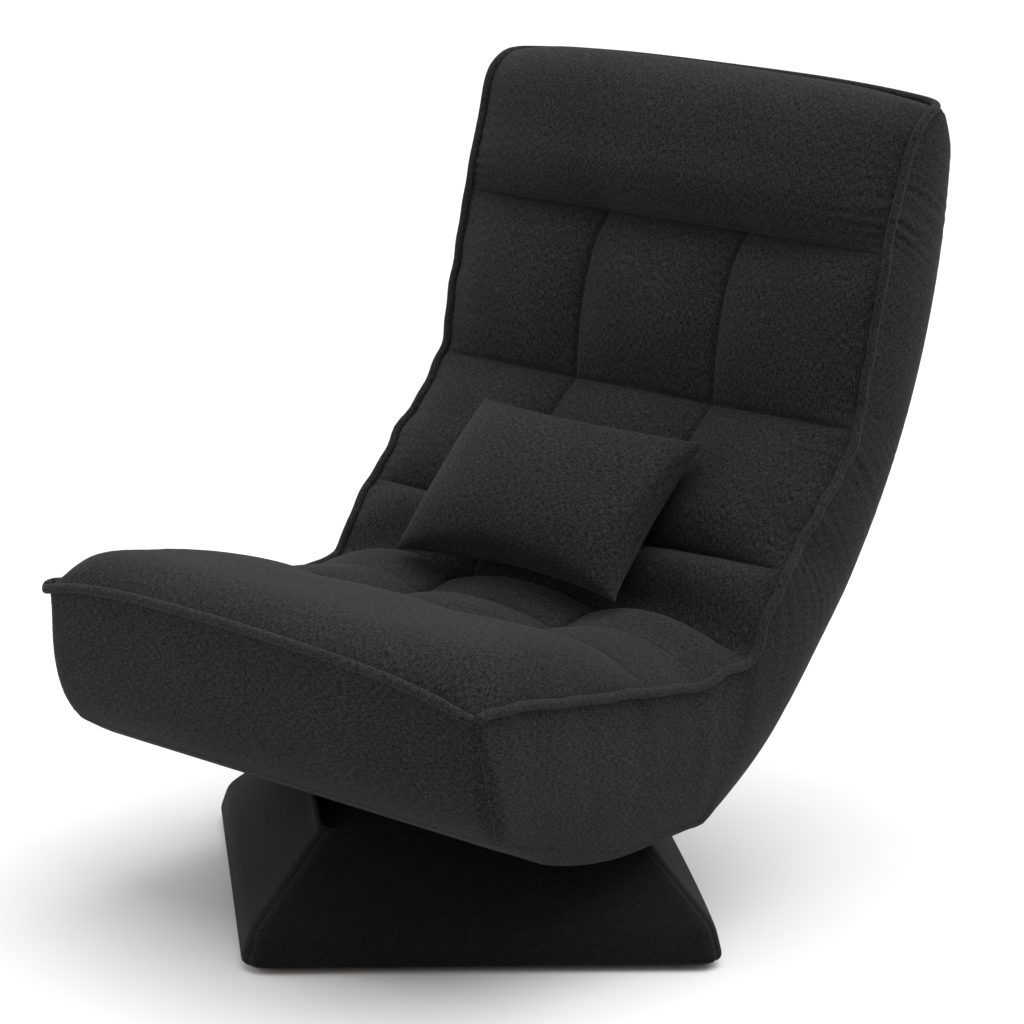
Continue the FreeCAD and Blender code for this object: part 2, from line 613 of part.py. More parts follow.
def make_seat_frame():
    bars = []
    for y in (-CROSSBAR_AT, CROSSBAR_AT):
        reach = SEAT_RAIL_X + TUBE_RADIUS
        bar = Part.makeBox(2 * reach, CROSSBAR_WIDTH, CROSSBAR_HEIGHT, Vector(-reach, y - CROSSBAR_WIDTH / 2, CROSSBAR_Z))
        bore_y = CROSSBAR_WIDTH - 2 * CROSSBAR_WALL
        bore_z = CROSSBAR_HEIGHT - 2 * CROSSBAR_WALL
        corner = Vector(-FAR / 2, y - bore_y / 2, CROSSBAR_Z + CROSSBAR_WALL)
        bars.append(bar.cut(Part.makeBox(FAR, bore_y, bore_z, corner)))
    keep("seat_crossbars", *bars)

    (front_y, front_z), rear_bar = seat_bars()
    rear_y = PIVOT_Y - RAIL_END_GAP
    points = [
        Vector(-SEAT_RAIL_X, rear_y, RAIL_Z),
        Vector(-SEAT_RAIL_X, RAIL_BEND_AT, RAIL_Z),
        Vector(-SEAT_RAIL_X, front_y, front_z),
        Vector(SEAT_RAIL_X, front_y, front_z),
        Vector(SEAT_RAIL_X, RAIL_BEND_AT, RAIL_Z),
        Vector(SEAT_RAIL_X, rear_y, RAIL_Z),
    ]
    path = bent_path(points, [RAIL_BEND_RADIUS, FRAME_CORNER, FRAME_CORNER, RAIL_BEND_RADIUS])
    keep("seat_frame", tube(path, TUBE_RADIUS, TUBE_WALL))

    tie = rod(Vector(-SEAT_RAIL_X, SEAT_TIE_AT, RAIL_Z), Vector(SEAT_RAIL_X, SEAT_TIE_AT, RAIL_Z), TIE_RADIUS)
    tie = tie.cut(rod(Vector(-FAR, SEAT_TIE_AT, RAIL_Z), Vector(FAR, SEAT_TIE_AT, RAIL_Z), TIE_RADIUS - TUBE_WALL))
    tie = tie.cut(swept(path, TUBE_RADIUS))
    keep("seat_rear_tie", tie)

    straps = []
    for i in range(SEAT_STRAPS):
        x = (i - (SEAT_STRAPS - 1) / 2) * SEAT_STRAP_PITCH - STRAP_WIDTH / 2
        face = band((front_y, front_z), TUBE_RADIUS, (SEAT_TIE_AT, RAIL_Z), TIE_RADIUS)
        straps.append(face.extrude(Vector(0, 0, STRAP_WIDTH)))
        straps[-1].Placement = FreeCAD.Placement(Vector(x, 0, 0), FreeCAD.Rotation(Y_AXIS, Z_AXIS, X_AXIS))
    keep("seat_webbing", *straps)


def band(first, first_radius, last, last_radius):
    """Flat section of a strap stretched over two bars and hooked round each, in its own plane."""
    span = math.dist(first, last)
    lean = math.degrees(math.atan2(last[1] - first[1], last[0] - first[0]))
    normal = lean + math.degrees(math.acos((first_radius - last_radius) / span))

    def hook(centre, radius, way):
        turns = (normal, normal + way * STRAP_HOOK / 2, normal + way * STRAP_HOOK)
        return [Vector(*step(centre, radius + STRAP_FIT, turn), 0) for turn in turns]

    low_a = hook(first, first_radius, 1)
    high_a = hook(first, first_radius + STRAP_THICK, 1)
    low_b = hook(last, last_radius, -1)
    high_b = hook(last, last_radius + STRAP_THICK, -1)
    edges = [
        line(high_a[0], high_b[0]),
        arc(high_b[0], high_b[1], high_b[2]),
        line(high_b[2], low_b[2]),
        arc(low_b[2], low_b[1], low_b[0]),
        line(low_b[0], low_a[0]),
        arc(low_a[0], low_a[1], low_a[2]),
        line(low_a[2], high_a[2]),
        arc(high_a[2], high_a[1], high_a[0]),
    ]
    return Part.Face(Part.Wire(edges))


def make_back_frame():
    heading = rail_heading(BACK_BAR_AT)
    top_turn = spot(0, back_at(BACK_BAR_AT, 0))
    half_turn = BACK_STRAIGHT + SWEEP_LENGTH / 2

    def side(sign):
        x = sign * BACK_RAIL_X
        run = line(spot(x, back_at(BACK_RAIL_START, 0)), spot(x, RAIL_SWEEP))
        sweep = arc(spot(x, RAIL_SWEEP), spot(x, back_at(half_turn, 0)), spot(x, SWEEP_END))
        return [run, sweep]

    points = [
        spot(-BACK_RAIL_X, SWEEP_END),
        Vector(-BACK_RAIL_X, top_turn.y, top_turn.z),
        Vector(BACK_RAIL_X, top_turn.y, top_turn.z),
        spot(BACK_RAIL_X, SWEEP_END),
    ]
    edges = side(-1) + bent_path(points, [BACK_CORNER, BACK_CORNER]).Edges + side(1)
    path = Part.Wire(Part.__sortEdges__(edges))
    keep("back_frame", tube(path, TUBE_RADIUS, TUBE_WALL))

    ties = []
    for along in BACK_TIES_AT:
        foot = back_at(along, 0)
        tie = rod(spot(-BACK_RAIL_X, foot), spot(BACK_RAIL_X, foot), TIE_RADIUS)
        tie = tie.cut(rod(spot(-FAR, foot), spot(FAR, foot), TIE_RADIUS - TUBE_WALL))
        ties.append(tie.cut(swept(path, TUBE_RADIUS)))
    keep("back_ties", *ties)

    straps = []
    for i in range(BACK_STRAPS):
        along = BACK_STRAIGHT + i * BACK_STRAP_PITCH
        face = band((-BACK_RAIL_X, 0), TUBE_RADIUS, (BACK_RAIL_X, 0), TUBE_RADIUS)
        across = FreeCAD.Rotation(X_AXIS, 90 + rail_heading(along))
        strap = face.extrude(Vector(0, 0, -STRAP_WIDTH))
        strap.translate(Vector(0, 0, STRAP_WIDTH / 2))
        strap.Placement = FreeCAD.Placement(spot(0, back_at(along, 0)), across).multiply(strap.Placement)
        straps.append(strap)
    keep("back_webbing", *straps)


# Recline hinge

def link(start, end, x_from, thick, room=0.0):
    """Flat leaf with a round head at one point and a narrower round end at another."""
    reach = math.dist(start, end)
    head = HINGE_RADIUS + room
    tail = HINGE_ARM_RADIUS + room
    lean = math.degrees(math.atan2(end[1] - start[1], end[0] - start[0]))
    open_turn = math.degrees(math.acos((head - tail) / reach))
    head_a = step(start, head, lean + open_turn)
    head_b = step(start, head, lean - open_turn)
    tail_a = step(end, tail, lean + open_turn)
    tail_b = step(end, tail, lean - open_turn)
    head_far = step(start, head, lean + 180)
    tail_far = step(end, tail, lean)
    edges = [
        line(spot(x_from, head_b), spot(x_from, tail_b)),
        arc(spot(x_from, tail_b), spot(x_from, tail_far), spot(x_from, tail_a)),
        line(spot(x_from, tail_a), spot(x_from, head_a)),
        arc(spot(x_from, head_a), spot(x_from, head_far), spot(x_from, head_b)),
    ]
    return Part.Face(Part.Wire(edges)).extrude(Vector(thick, 0, 0))


def hinge_ends():
    """Far ends of the seat leaf and of the back leaf, on the lines of their rails."""
    drop = math.asin(PIVOT_RISE / HINGE_ARM)
    seat_end = (PIVOT_Y - HINGE_ARM * math.cos(drop), RAIL_Z)
    back_end = back_at(math.sqrt(HINGE_ARM ** 2 - BACK_RAIL_DROP ** 2), 0)
    return seat_end, back_end


def make_hinges():
    seat_end, back_end = hinge_ends()
    axis_at = spot(0, PIVOT)

    seat_leaf = link(PIVOT, seat_end, SEAT_LEAF_X, LEAF)
    seat_leaf = seat_leaf.cut(Part.makeCylinder(PIN_RADIUS, FAR, axis_at, X_AXIS))
    keep("hinge_seat_leaves", seat_leaf, mirrored(seat_leaf))

    back_leaf = link(PIVOT, back_end, BACK_LEAF_X, LEAF)
    back_leaf = back_leaf.cut(Part.makeCylinder(PIN_RADIUS + PIN_PLAY, FAR, axis_at, X_AXIS))
    keep("hinge_back_leaves", back_leaf, mirrored(back_leaf))

    washer = Part.makeCylinder(LEAF_WASHER_RADIUS, LEAF_WASHER, spot(SEAT_LEAF_X + LEAF, PIVOT), X_AXIS)
    washer = washer.cut(Part.makeCylinder(PIN_RADIUS, FAR, axis_at, X_AXIS))
    keep("hinge_washers", washer, mirrored(washer))

    nut_x = SEAT_LEAF_X - PIN_NUT_THICK
    head_x = BACK_LEAF_X + LEAF
    pin = Part.makeCylinder(PIN_RADIUS, head_x - nut_x + PIN_END, spot(nut_x - PIN_END, PIVOT), X_AXIS)
    head = Part.makeCylinder(PIN_HEAD, PIN_HEAD_THICK, spot(head_x, PIVOT), X_AXIS)
    head = head.makeFillet(PIN_HEAD_THICK / 2, [e for e in head.Edges if e.BoundBox.XMin > head_x + 1])
    pin = pin.fuse(head).removeSplitter()
    keep("hinge_pins", pin, mirrored(pin))

    nut = hexagon(PIN_NUT_FLATS, PIN_NUT_THICK, spot(nut_x, PIVOT), X_AXIS)
    nut = nut.cut(Part.makeCylinder(PIN_RADIUS, FAR, axis_at, X_AXIS))
    keep("hinge_nuts", nut, mirrored(nut))


# Pad

class Station:
    """One cross section of the pad, between a point on its underside and one on its welt line.

    Heights are measured from the underside towards the welt. The top is three sewn
    panels: outer is the height of the two side panels over the welt line, tuft that of
    the two lengthwise seams and crown that of the middle panel.
    """

    def __init__(self, low, welt, outer, tuft, crown):
        self.low = low
        self.welt = welt
        self.outer = outer
        self.tuft = tuft
        self.crown = crown
        self.depth = math.dist(low, welt)
        self.rise = ((welt[0] - low[0]) / self.depth, (welt[1] - low[1]) / self.depth)

    def at(self, x, height):
        y = self.low[0] + self.rise[0] * height
        z = self.low[1] + self.rise[1] * height
        return Vector(x, y, z)

    def wire(self, inset=0.0):
        half = PAD_HALF - inset
        seam = half / 3
        top = self.depth - inset
        foot = inset
        bulge = half + SIDE_BULGE * self.depth / FRONT_HEIGHT
        middle = (top + foot) / 2
        edges = [line(self.at(-half, foot), self.at(half, foot))]
        edges.append(arc(self.at(half, foot), self.at(bulge, middle), self.at(half, top)))
        edges.append(arc(self.at(half, top), self.at(2 * seam, top + self.outer), self.at(seam, top + self.tuft)))
        edges.append(arc(self.at(seam, top + self.tuft), self.at(0, top + self.crown), self.at(-seam, top + self.tuft)))
        edges.append(arc(self.at(-seam, top + self.tuft), self.at(-2 * seam, top + self.outer), self.at(-half, top)))
        edges.append(arc(self.at(-half, top), self.at(-bulge, middle), self.at(-half, foot)))
        return Part.Wire(edges)

    def top_edge(self, lift):
        """Points along the sewn top edge, a lift above it, from right to left."""
        seam = PAD_HALF / 3
        top = self.depth + lift
        right = [self.at(2 * seam, top + self.outer), self.at(seam, top + self.tuft)]
        left = [self.at(-seam, top + self.tuft), self.at(-2 * seam, top + self.outer)]
        return right + [self.at(0, top + self.crown)] + left

    def moved(self, dy, dz):
        low = (self.low[0] + dy, self.low[1] + dz)
        welt = (self.welt[0] + dy, self.welt[1] + dz)
        return Station(low, welt, self.outer, self.tuft, self.crown)


def seat_station(share, y_from, y_to, lean_from, lean_to, outer, tuft, crown):
    welt = between(y_from, y_to, share)
    lean = lean_from + (lean_to - lean_from) * share
    return Station(bottom_at(welt[0] + lean), welt, outer, tuft, crown)


def seat_rows():
    """Cross sections of the front roll and of the two quilted rows of the seat."""
    front_lean = FRONT_LOW[0] - FRONT_TOP[0]
    lean_6 = -SEAM_DROP / 2
    lean_5 = -SEAM_DROP / 2
    front = Station(FRONT_LOW, FRONT_TOP, 6.0, 9.0, 10.0)
    roll_a = seat_station(0.27, FRONT_TOP, SEAM_6, front_lean, lean_6, ROLL_CROWN - 8, ROLL_CROWN - 2, ROLL_CROWN)
    roll_b = seat_station(0.64, FRONT_TOP, SEAM_6, front_lean, lean_6, ROLL_CROWN - 12, ROLL_CROWN - 10, ROLL_CROWN - 8)
    seam_6 = seat_station(1.0, FRONT_TOP, SEAM_6, front_lean, lean_6, SEAT_TUFT + 1, SEAT_TUFT, SEAT_TUFT + 5)
    row_a = seat_station(0.5, SEAM_6, SEAM_5, lean_6, lean_5, SEAT_CROWN, SEAT_TUFT + 5, SEAT_CROWN + 4)
    seam_5 = seat_station(1.0, SEAM_6, SEAM_5, lean_6, lean_5, SEAT_TUFT + 1, SEAT_TUFT, SEAT_TUFT + 5)
    low_b = between(seam_5.low, SPLIT_LOW, 0.5)
    row_b = Station(low_b, between(SEAM_5, CREASE, 0.5), ROW_B_CROWN - 4, SEAT_TUFT, ROW_B_CROWN)
    split = Station(SPLIT_LOW, CREASE, 5.0, 3.0, 7.0)
    return [[front, roll_a, roll_b, seam_6], [seam_6, row_a, seam_5], [seam_5, row_b, split]]


def back_station(along, ahead, rear, outer, tuft, crown):
    return Station(back_at(along, -rear - REAR_TRIM), back_at(along, ahead), outer, tuft, crown)


def back_rows():
    """Cross sections of the three quilted rows of the back and of the headrest."""
    away = math.radians(CREASE_ANGLE - 90)
    crease = Station(SPLIT_LOW, CREASE, 5.0, 3.0, 7.0)
    crease = crease.moved(CREASE_GAP * math.cos(away), CREASE_GAP * math.sin(away))
    row_c_low = back_at(ROW_C_AT / 2, -BACK_REAR - REAR_TRIM)
    row_c = Station(row_c_low, back_at(ROW_C_AT, ROW_C_DEPTH), BACK_CROWN - 7, BACK_TUFT / 3, BACK_CROWN - 6)
    seam_3 = back_station(SEAM_3_AT, SEAM_3_DEPTH, BACK_REAR, BACK_TUFT / 4, BACK_TUFT, BACK_TUFT / 2)
    row_d = back_station(ROW_D_AT, ROW_D_DEPTH, BACK_REAR, BACK_CROWN + 2, BACK_TUFT / 5, BACK_CROWN)
    seam_2 = back_station(SEAM_2_AT, SEAM_2_DEPTH, BACK_REAR, 3.0, BACK_TUFT / 2, 2.0)
    row_e = back_station(ROW_E_AT, ROW_E_DEPTH, BACK_REAR, BACK_CROWN, BACK_TUFT / 5, BACK_CROWN)
    seam_1 = back_station(SEAM_1_AT, SEAM_1_DEPTH, BACK_REAR, BACK_TUFT / 3, BACK_TUFT * 1.4, BACK_TUFT * 0.8)
    head = back_station(HEAD_AT, HEAD_DEPTH, BACK_REAR, HEAD_CROWN - 8, HEAD_CROWN - 3, HEAD_CROWN)
    top = Station(rear_corner(), back_at(PAD_TOP_AT, PAD_TOP_DEPTH), 6.0, 8.0, 9.0)
    return [[crease, row_c, seam_3], [seam_3, row_d, seam_2], [seam_2, row_e, seam_1], [seam_1, head, top]]


def padded(rows):
    """Joins lofted rows, which meet in creases at their shared seams."""
    lofts = [Part.makeLoft([station.wire() for station in row], True, False) for row in rows]
    return lofts[0].multiFuse(lofts[1:])


def nose(station, dy, dz, inset):
    """Soft bulge on an end of the pad."""
    tip = station.moved(dy, dz)
    return Part.makeLoft([station.wire(), tip.wire(inset)], True, True)


def hinge_wells():
    """Room in the foam round the hinge heads."""
    seat_end, back_end = hinge_ends()
    start = SEAT_RAIL_X - TUBE_RADIUS
    well = link(PIVOT, seat_end, start, RECESS_HALF - start, HINGE_ROOM)
    well = well.fuse(link(PIVOT, back_end, start, RECESS_HALF - start, HINGE_ROOM))
    return well.fuse(mirrored(well))


def make_seat_pad():
    rows = seat_rows()
    pad = padded(rows)
    front = rows[0][0]
    ahead = math.radians(180 - FRONT_RAKE + 90)
    bulge = nose(front, FRONT_BULGE * math.sin(math.radians(-FRONT_RAKE)), FRONT_BULGE * math.cos(ahead), 3 * FRONT_BULGE)
    pad = pad.fuse(bulge)
    wall_y = FRONT_LOW[0] + FRONT_WALL
    front_bar, rear_bar = seat_bars()
    room_above = STRAP_FIT + STRAP_THICK + FRAME_ROOM
    rear_top = (rear_bar[0], rear_bar[1] + TUBE_RADIUS + room_above)
    front_top = (front_bar[0], front_bar[1] + TUBE_RADIUS + room_above)
    slope = (front_top[1] - rear_top[1]) / (front_top[0] - rear_top[0])
    behind = PIVOT_Y + CREASE_DEPTH
    room = [
        (wall_y, FRONT_LOW[1] - FRONT_HEIGHT),
        (wall_y, front_top[1] + slope * (wall_y - front_top[0])),
        rear_top,
        (behind, rear_top[1]),
        (behind, FRONT_LOW[1] - FRONT_HEIGHT),
    ]
    pad = pad.cut(side_prism(room, -RECESS_HALF, RECESS_HALF))
    pad = pad.cut(hinge_wells())
    keep("seat_cushion", pad.removeSplitter())

    drop = SEAM_Z - CROSSBAR_Z + CLOTH + COVER_FIT
    trays = []
    for low, lean, depth in (
        (FRONT_LOW, FRONT_TOP, CLOTH * 3),
        (BOTTOM_BEND, (BOTTOM_BEND_AT, CREASE[1]), drop),
        (SPLIT_LOW, CREASE, drop / math.sin(math.radians(CREASE_ANGLE))),
    ):
        station = Station(low, lean, 1.0, 2.0, 3.0)
        trays.append(tray(station, depth))
    panel = Part.makeLoft(trays, True, True)
    panel = panel.cut(square_block(MOUNT_HALF + CLOTH, 0, FAR))
    keep("seat_bottom_panel", panel)


def tray(station, depth):
    """Thin section of a cloth panel that hangs below its side seams."""
    half = PAD_HALF
    reach = SKIRT * 1.9

    def flank(side, skin):
        top = station.at(side * (half - skin), -PANEL_FIT)
        knee = station.at(side * (half - skin - reach * 0.22), -(depth - skin) * 0.72)
        flat = station.at(side * (half - reach), -(depth - skin))
        return top, knee, flat

    outer_r = flank(1, 0.0)
    outer_l = flank(-1, 0.0)
    inner_r = flank(1, CLOTH)
    inner_l = flank(-1, CLOTH)
    edges = [
        arc(outer_l[0], outer_l[1], outer_l[2]),
        line(outer_l[2], outer_r[2]),
        arc(outer_r[2], outer_r[1], outer_r[0]),
        line(outer_r[0], inner_r[0]),
        arc(inner_r[0], inner_r[1], inner_r[2]),
        line(inner_r[2], inner_l[2]),
        arc(inner_l[2], inner_l[1], inner_l[0]),
        line(inner_l[0], outer_l[0]),
    ]
    return Part.Wire(edges)


def make_back_pad():
    rows = back_rows()
    pad = padded(rows)
    top = rows[-1][-1]
    heading = math.radians(rail_heading(PAD_TOP_AT))

    half_turn = BACK_STRAIGHT + SWEEP_LENGTH / 2
    sweep_end = BACK_STRAIGHT + SWEEP_LENGTH
    last = PAD_TOP_AT - TOP_WALL
    x = -RECESS_HALF
    front_side = [back_at(-HINGE_ARM, BACK_RECESS), back_at(BACK_STRAIGHT, BACK_RECESS)]
    deep = -2 * BACK_REAR
    edges = [
        line(spot(x, front_side[0]), spot(x, front_side[1])),
        arc(spot(x, front_side[1]), spot(x, back_at(half_turn, BACK_RECESS)), spot(x, back_at(sweep_end, BACK_RECESS))),
        line(spot(x, back_at(sweep_end, BACK_RECESS)), spot(x, back_at(last, BACK_RECESS))),
        line(spot(x, back_at(last, BACK_RECESS)), spot(x, back_at(last, deep))),
        line(spot(x, back_at(last, deep)), spot(x, back_at(sweep_end, deep))),
        arc(spot(x, back_at(sweep_end, deep)), spot(x, back_at(half_turn, deep)), spot(x, back_at(BACK_STRAIGHT, deep))),
        line(spot(x, back_at(BACK_STRAIGHT, deep)), spot(x, back_at(-HINGE_ARM, deep))),
        line(spot(x, back_at(-HINGE_ARM, deep)), spot(x, front_side[0])),
    ]
    room = Part.Face(Part.Wire(edges)).extrude(Vector(2 * RECESS_HALF, 0, 0))
    pad = pad.cut(behind_panel())
    crown = nose(top, PAD_TOP_BULGE * math.cos(heading), PAD_TOP_BULGE * math.sin(heading), PAD_TOP_BULGE * 0.9)
    pad = pad.fuse(crown)
    pad = pad.cut(room)
    pad = pad.cut(hinge_wells())
    pad = pad.cut(relief())
    keep("back_cushion", pad.removeSplitter())

    half = PAD_HALF
    inner = rear_line(-half, BACK_REAR)
    outer = rear_line(-half, BACK_REAR + CLOTH)
    ends = [line(inner[0].Vertexes[0].Point, outer[0].Vertexes[0].Point)]
    ends.append(line(inner[-1].Vertexes[-1].Point, outer[-1].Vertexes[-1].Point))
    sheet = Part.Wire(Part.__sortEdges__(inner + outer + ends))
    panel = Part.Face(sheet).extrude(Vector(2 * half, 0, 0))
    keep("back_rear_panel", panel.cut(relief()))


def rear_line(x, behind):
    """Edges of a line up the rear of the back, which turns forward at the top."""
    start = back_at(BACK_RAIL_START, -behind)
    bend = back_at(BACK_STRAIGHT, -behind)
    middle = back_at(BACK_STRAIGHT + SWEEP_LENGTH / 2, -behind)
    upright = back_at(BACK_STRAIGHT + SWEEP_LENGTH, -behind)
    turn = back_at(HEAD_AT, -behind)
    heading = rail_heading(PAD_TOP_AT)
    end = step(rear_corner(), behind - BACK_REAR, heading - 90)
    chord = math.degrees(math.atan2(end[1] - turn[1], end[0] - turn[0]))
    quarter = (chord - heading) / 2
    reach = math.dist(turn, end) / 2 / math.cos(math.radians(quarter))
    knee = step(turn, reach, heading + quarter)
    return [
        line(spot(x, start), spot(x, bend)),
        arc(spot(x, bend), spot(x, middle), spot(x, upright)),
        line(spot(x, upright), spot(x, turn)),
        arc(spot(x, turn), spot(x, knee), spot(x, end)),
    ]


def rear_corner():
    """Rear corner of the pad's top in the side view."""
    return back_at(PAD_TOP_AT + PAD_TOP_BULGE / 2, -PAD_TOP_REAR)


def behind_panel():
    """All of the space behind the rear panel's inner face."""
    edges = rear_line(-FAR, BACK_REAR - COVER_FIT)
    low = edges[0].Vertexes[0].Point
    high = edges[-1].Vertexes[-1].Point
    above = high + Vector(0, 0, FAR)
    far_above = above + Vector(0, FAR, 0)
    far_below = Vector(low.x, far_above.y, low.z - FAR)
    edges += [line(high, above), line(above, far_above), line(far_above, far_below), line(far_below, low)]
    return Part.Face(Part.Wire(Part.__sortEdges__(edges))).extrude(Vector(2 * FAR, 0, 0))


def relief():
    """Wedge below the recline axis that lets the back come down."""
    down = CREASE_ANGLE + 180
    wedge = [
        PIVOT,
        step(PIVOT, CREASE_DEPTH, down - RECLINE),
        step(PIVOT, CREASE_DEPTH, down),
        step(PIVOT, CREASE_DEPTH, down + (RECLINE + RECLINE_SPARE) / 2),
        step(PIVOT, CREASE_DEPTH, down + RECLINE + RECLINE_SPARE),
    ]
    return side_prism(wedge, -FAR, FAR)


# Welt cord

def side_edge(rows, side):
    """Middle of the welt along one side, from the first section of the rows to the last."""
    tilt = math.radians(WELT_TILT)
    out = WELT_RADIUS + WELT_FIT
    points = []
    for row in rows:
        start = row[0].at(side * PAD_HALF, row[0].depth)
        end = row[-1].at(side * PAD_HALF, row[-1].depth)
        loft = Part.makeLoft([station.wire() for station in row], True, False)
        run = next(e for e in loft.Edges if joins(e, start, end)).discretize(WELT_STEPS + 1)
        if run[0].distanceToPoint(start) > run[-1].distanceToPoint(start):
            run.reverse()
        for i, point in enumerate(run):
            if points and i == 0:
                continue
            rise = between(row[0].rise, row[-1].rise, i / WELT_STEPS)
            up = spot(0, rise) * (out * math.sin(tilt))
            points.append(point + up + X_AXIS * (side * out * math.cos(tilt)))
    return points


def joins(edge, a, b):
    """True for an edge that runs between two points."""
    ends = [vertex.Point for vertex in edge.Vertexes]
    if len(ends) < 2:
        return False
    straight = ends[0].distanceToPoint(a) + ends[1].distanceToPoint(b)
    crossed = ends[0].distanceToPoint(b) + ends[1].distanceToPoint(a)
    return min(straight, crossed) < WELT_FIT / 10


def beyond(points):
    """Carries the last run on, so that the cord can be trimmed at the crease."""
    run = (points[-1] - points[-2]).normalize()
    return points[:-1] + [points[-1] + run * WELT_RADIUS]


def welt(points, corners):
    """Cord along points, with tight turns at the named corners."""
    radii = [WELT_CORNER if i in corners else WELT_BEND for i in range(1, len(points) - 1)]
    return swept(bent_path(points, radii), WELT_RADIUS)


def crease_side(heading):
    """All of the space on one side of the crease."""
    away = heading + CREASE_ANGLE
    low = step(PIVOT, FAR, CREASE_ANGLE + 180)
    high = step(PIVOT, FAR, CREASE_ANGLE)
    return side_prism([low, high, step(high, FAR, away), step(low, FAR, away)], -FAR, FAR)


def make_welts():
    out = WELT_RADIUS + WELT_FIT
    lift = out * math.sin(math.radians(WELT_TILT))
    rows = seat_rows()
    front = rows[0][0]
    ahead = Vector(0, -math.sin(math.radians(FRONT_RAKE)), -math.cos(math.radians(FRONT_RAKE))) * out
    corner_r = front.at(PAD_HALF + out, front.depth + lift) + ahead
    corner_l = front.at(-PAD_HALF - out, front.depth + lift) + ahead
    edge = [point + ahead for point in front.top_edge(lift)]
    right = beyond(side_edge(rows, 1)[1:])[::-1]
    left = beyond(side_edge(rows, -1)[1:])
    points = right + [corner_r] + edge + [corner_l] + left
    cord = welt(points, (len(right), len(right) + len(edge) + 1))
    keep("seat_welt", cord.cut(crease_side(-90)))

    rows = back_rows()
    top = rows[-1][-1]
    last = rear_line(0, BACK_REAR + CLOTH)[-1]
    run = last.tangentAt(last.LastParameter)
    behind = Vector(0, run.z, -run.y) * (WELT_RADIUS + COVER_FIT)
    rear = last.valueAt(last.LastParameter) + behind
    heading = math.radians(rail_heading(PAD_TOP_AT))
    above = Vector(0, math.cos(heading), math.sin(heading)) * lift
    away = math.radians(CREASE_ANGLE - 90)
    clear = crease_side(90).translated(Vector(0, CREASE_GAP * math.cos(away), CREASE_GAP * math.sin(away)))
    swell = SIDE_BULGE * top.depth / FRONT_HEIGHT
    cords = []
    joins_at = []
    for side in (1, -1):
        beside = X_AXIS * (side * (swell + out * math.cos(math.radians(WELT_TILT))))
        shoulder = top.at(side * PAD_HALF, top.depth + lift) + above + beside
        corner = rear + X_AXIS * (side * PAD_HALF) + beside
        joins_at.append(rear + X_AXIS * (side * (PAD_HALF - 2 * WELT_CORNER)))
        points = side_edge(rows, side)[:-1] + [shoulder, corner, joins_at[-1]]
        cords.append(welt(points, (len(points) - 2,)).cut(clear))
    keep("back_welt", *cords)
    keep("back_rear_welt", rod(joins_at[1], joins_at[0], WELT_RADIUS))


# Loose pillow

def make_pillow():
    """Knife-edged pillow that leans on the back."""
    foot = (CREASE[0] - PILLOW_AHEAD, CREASE[1] + PILLOW_ABOVE)
    half = PILLOW_WIDTH / 2
    sections = []
    for share, thick, draw in ((0.0, 0.0, 0.0), (0.2, 0.76, 0.8), (0.5, 1.0, 1.0), (0.8, 0.76, 0.8), (1.0, 0.0, 0.0)):
        centre = step(foot, PILLOW_HEIGHT * share, PILLOW_LEAN)
        reach = half - PILLOW_DRAW * draw
        ahead = step(centre, PILLOW_EDGE + PILLOW_FRONT * thick, PILLOW_LEAN + 90)
        behind = step(centre, PILLOW_EDGE + PILLOW_REAR * thick, PILLOW_LEAN - 90)
        left = spot(-reach, centre)
        right = spot(reach, centre)
        sections.append(Part.Wire([arc(left, spot(0, ahead), right), arc(right, spot(0, behind), left)]))
    keep("lumbar_pillow", Part.makeLoft(sections, True, False))


def main():
    make_base()
    make_bearing()
    make_seat_frame()
    make_back_frame()
    make_hinges()
    make_seat_pad()
    make_back_pad()
    make_welts()
    make_pillow()
    os.makedirs("parts", exist_ok=True)
    for name, shape in PIECES.items():
        print(name, len(shape.Solids), "valid" if shape.isValid() else "not valid", round(shape.Volume / 1000, 2), "cm3")
        shape.exportStep("parts/" + name + ".step")


main()
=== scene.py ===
"""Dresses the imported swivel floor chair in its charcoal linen.

The pad, its welt, the base cover and the pillow are modelled here as sewn and
stuffed cloth. The steel frame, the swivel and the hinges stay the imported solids.
All sizes are in metres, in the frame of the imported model: +Z is up, the chair
faces -Y, and the origin is on the floor, on the swivel axis.
"""
import json
import logging
import math
from dataclasses import dataclass, field
from enum import Enum

import bpy
import numpy as np
from mathutils import Euler, Matrix, Vector


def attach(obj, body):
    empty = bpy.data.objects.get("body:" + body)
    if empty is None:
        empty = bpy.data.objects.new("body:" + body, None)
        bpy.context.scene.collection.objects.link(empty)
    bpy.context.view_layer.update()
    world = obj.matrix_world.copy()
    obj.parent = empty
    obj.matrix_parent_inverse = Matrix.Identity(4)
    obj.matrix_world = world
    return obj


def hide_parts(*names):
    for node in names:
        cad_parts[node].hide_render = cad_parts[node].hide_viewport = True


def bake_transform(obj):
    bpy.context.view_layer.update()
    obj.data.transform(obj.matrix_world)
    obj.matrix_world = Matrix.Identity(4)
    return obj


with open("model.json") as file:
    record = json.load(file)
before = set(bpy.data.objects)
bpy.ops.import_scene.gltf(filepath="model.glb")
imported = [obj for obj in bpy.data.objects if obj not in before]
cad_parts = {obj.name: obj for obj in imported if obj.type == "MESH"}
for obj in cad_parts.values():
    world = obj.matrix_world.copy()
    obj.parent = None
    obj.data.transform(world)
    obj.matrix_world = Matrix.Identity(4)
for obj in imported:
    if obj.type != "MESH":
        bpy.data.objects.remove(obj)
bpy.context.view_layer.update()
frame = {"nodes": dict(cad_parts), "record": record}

LOG = logging.getLogger("floor_chair")
Point = tuple[float, float]
Colour = tuple[float, float, float]
UV_NAME = "cloth"
SEED = 7
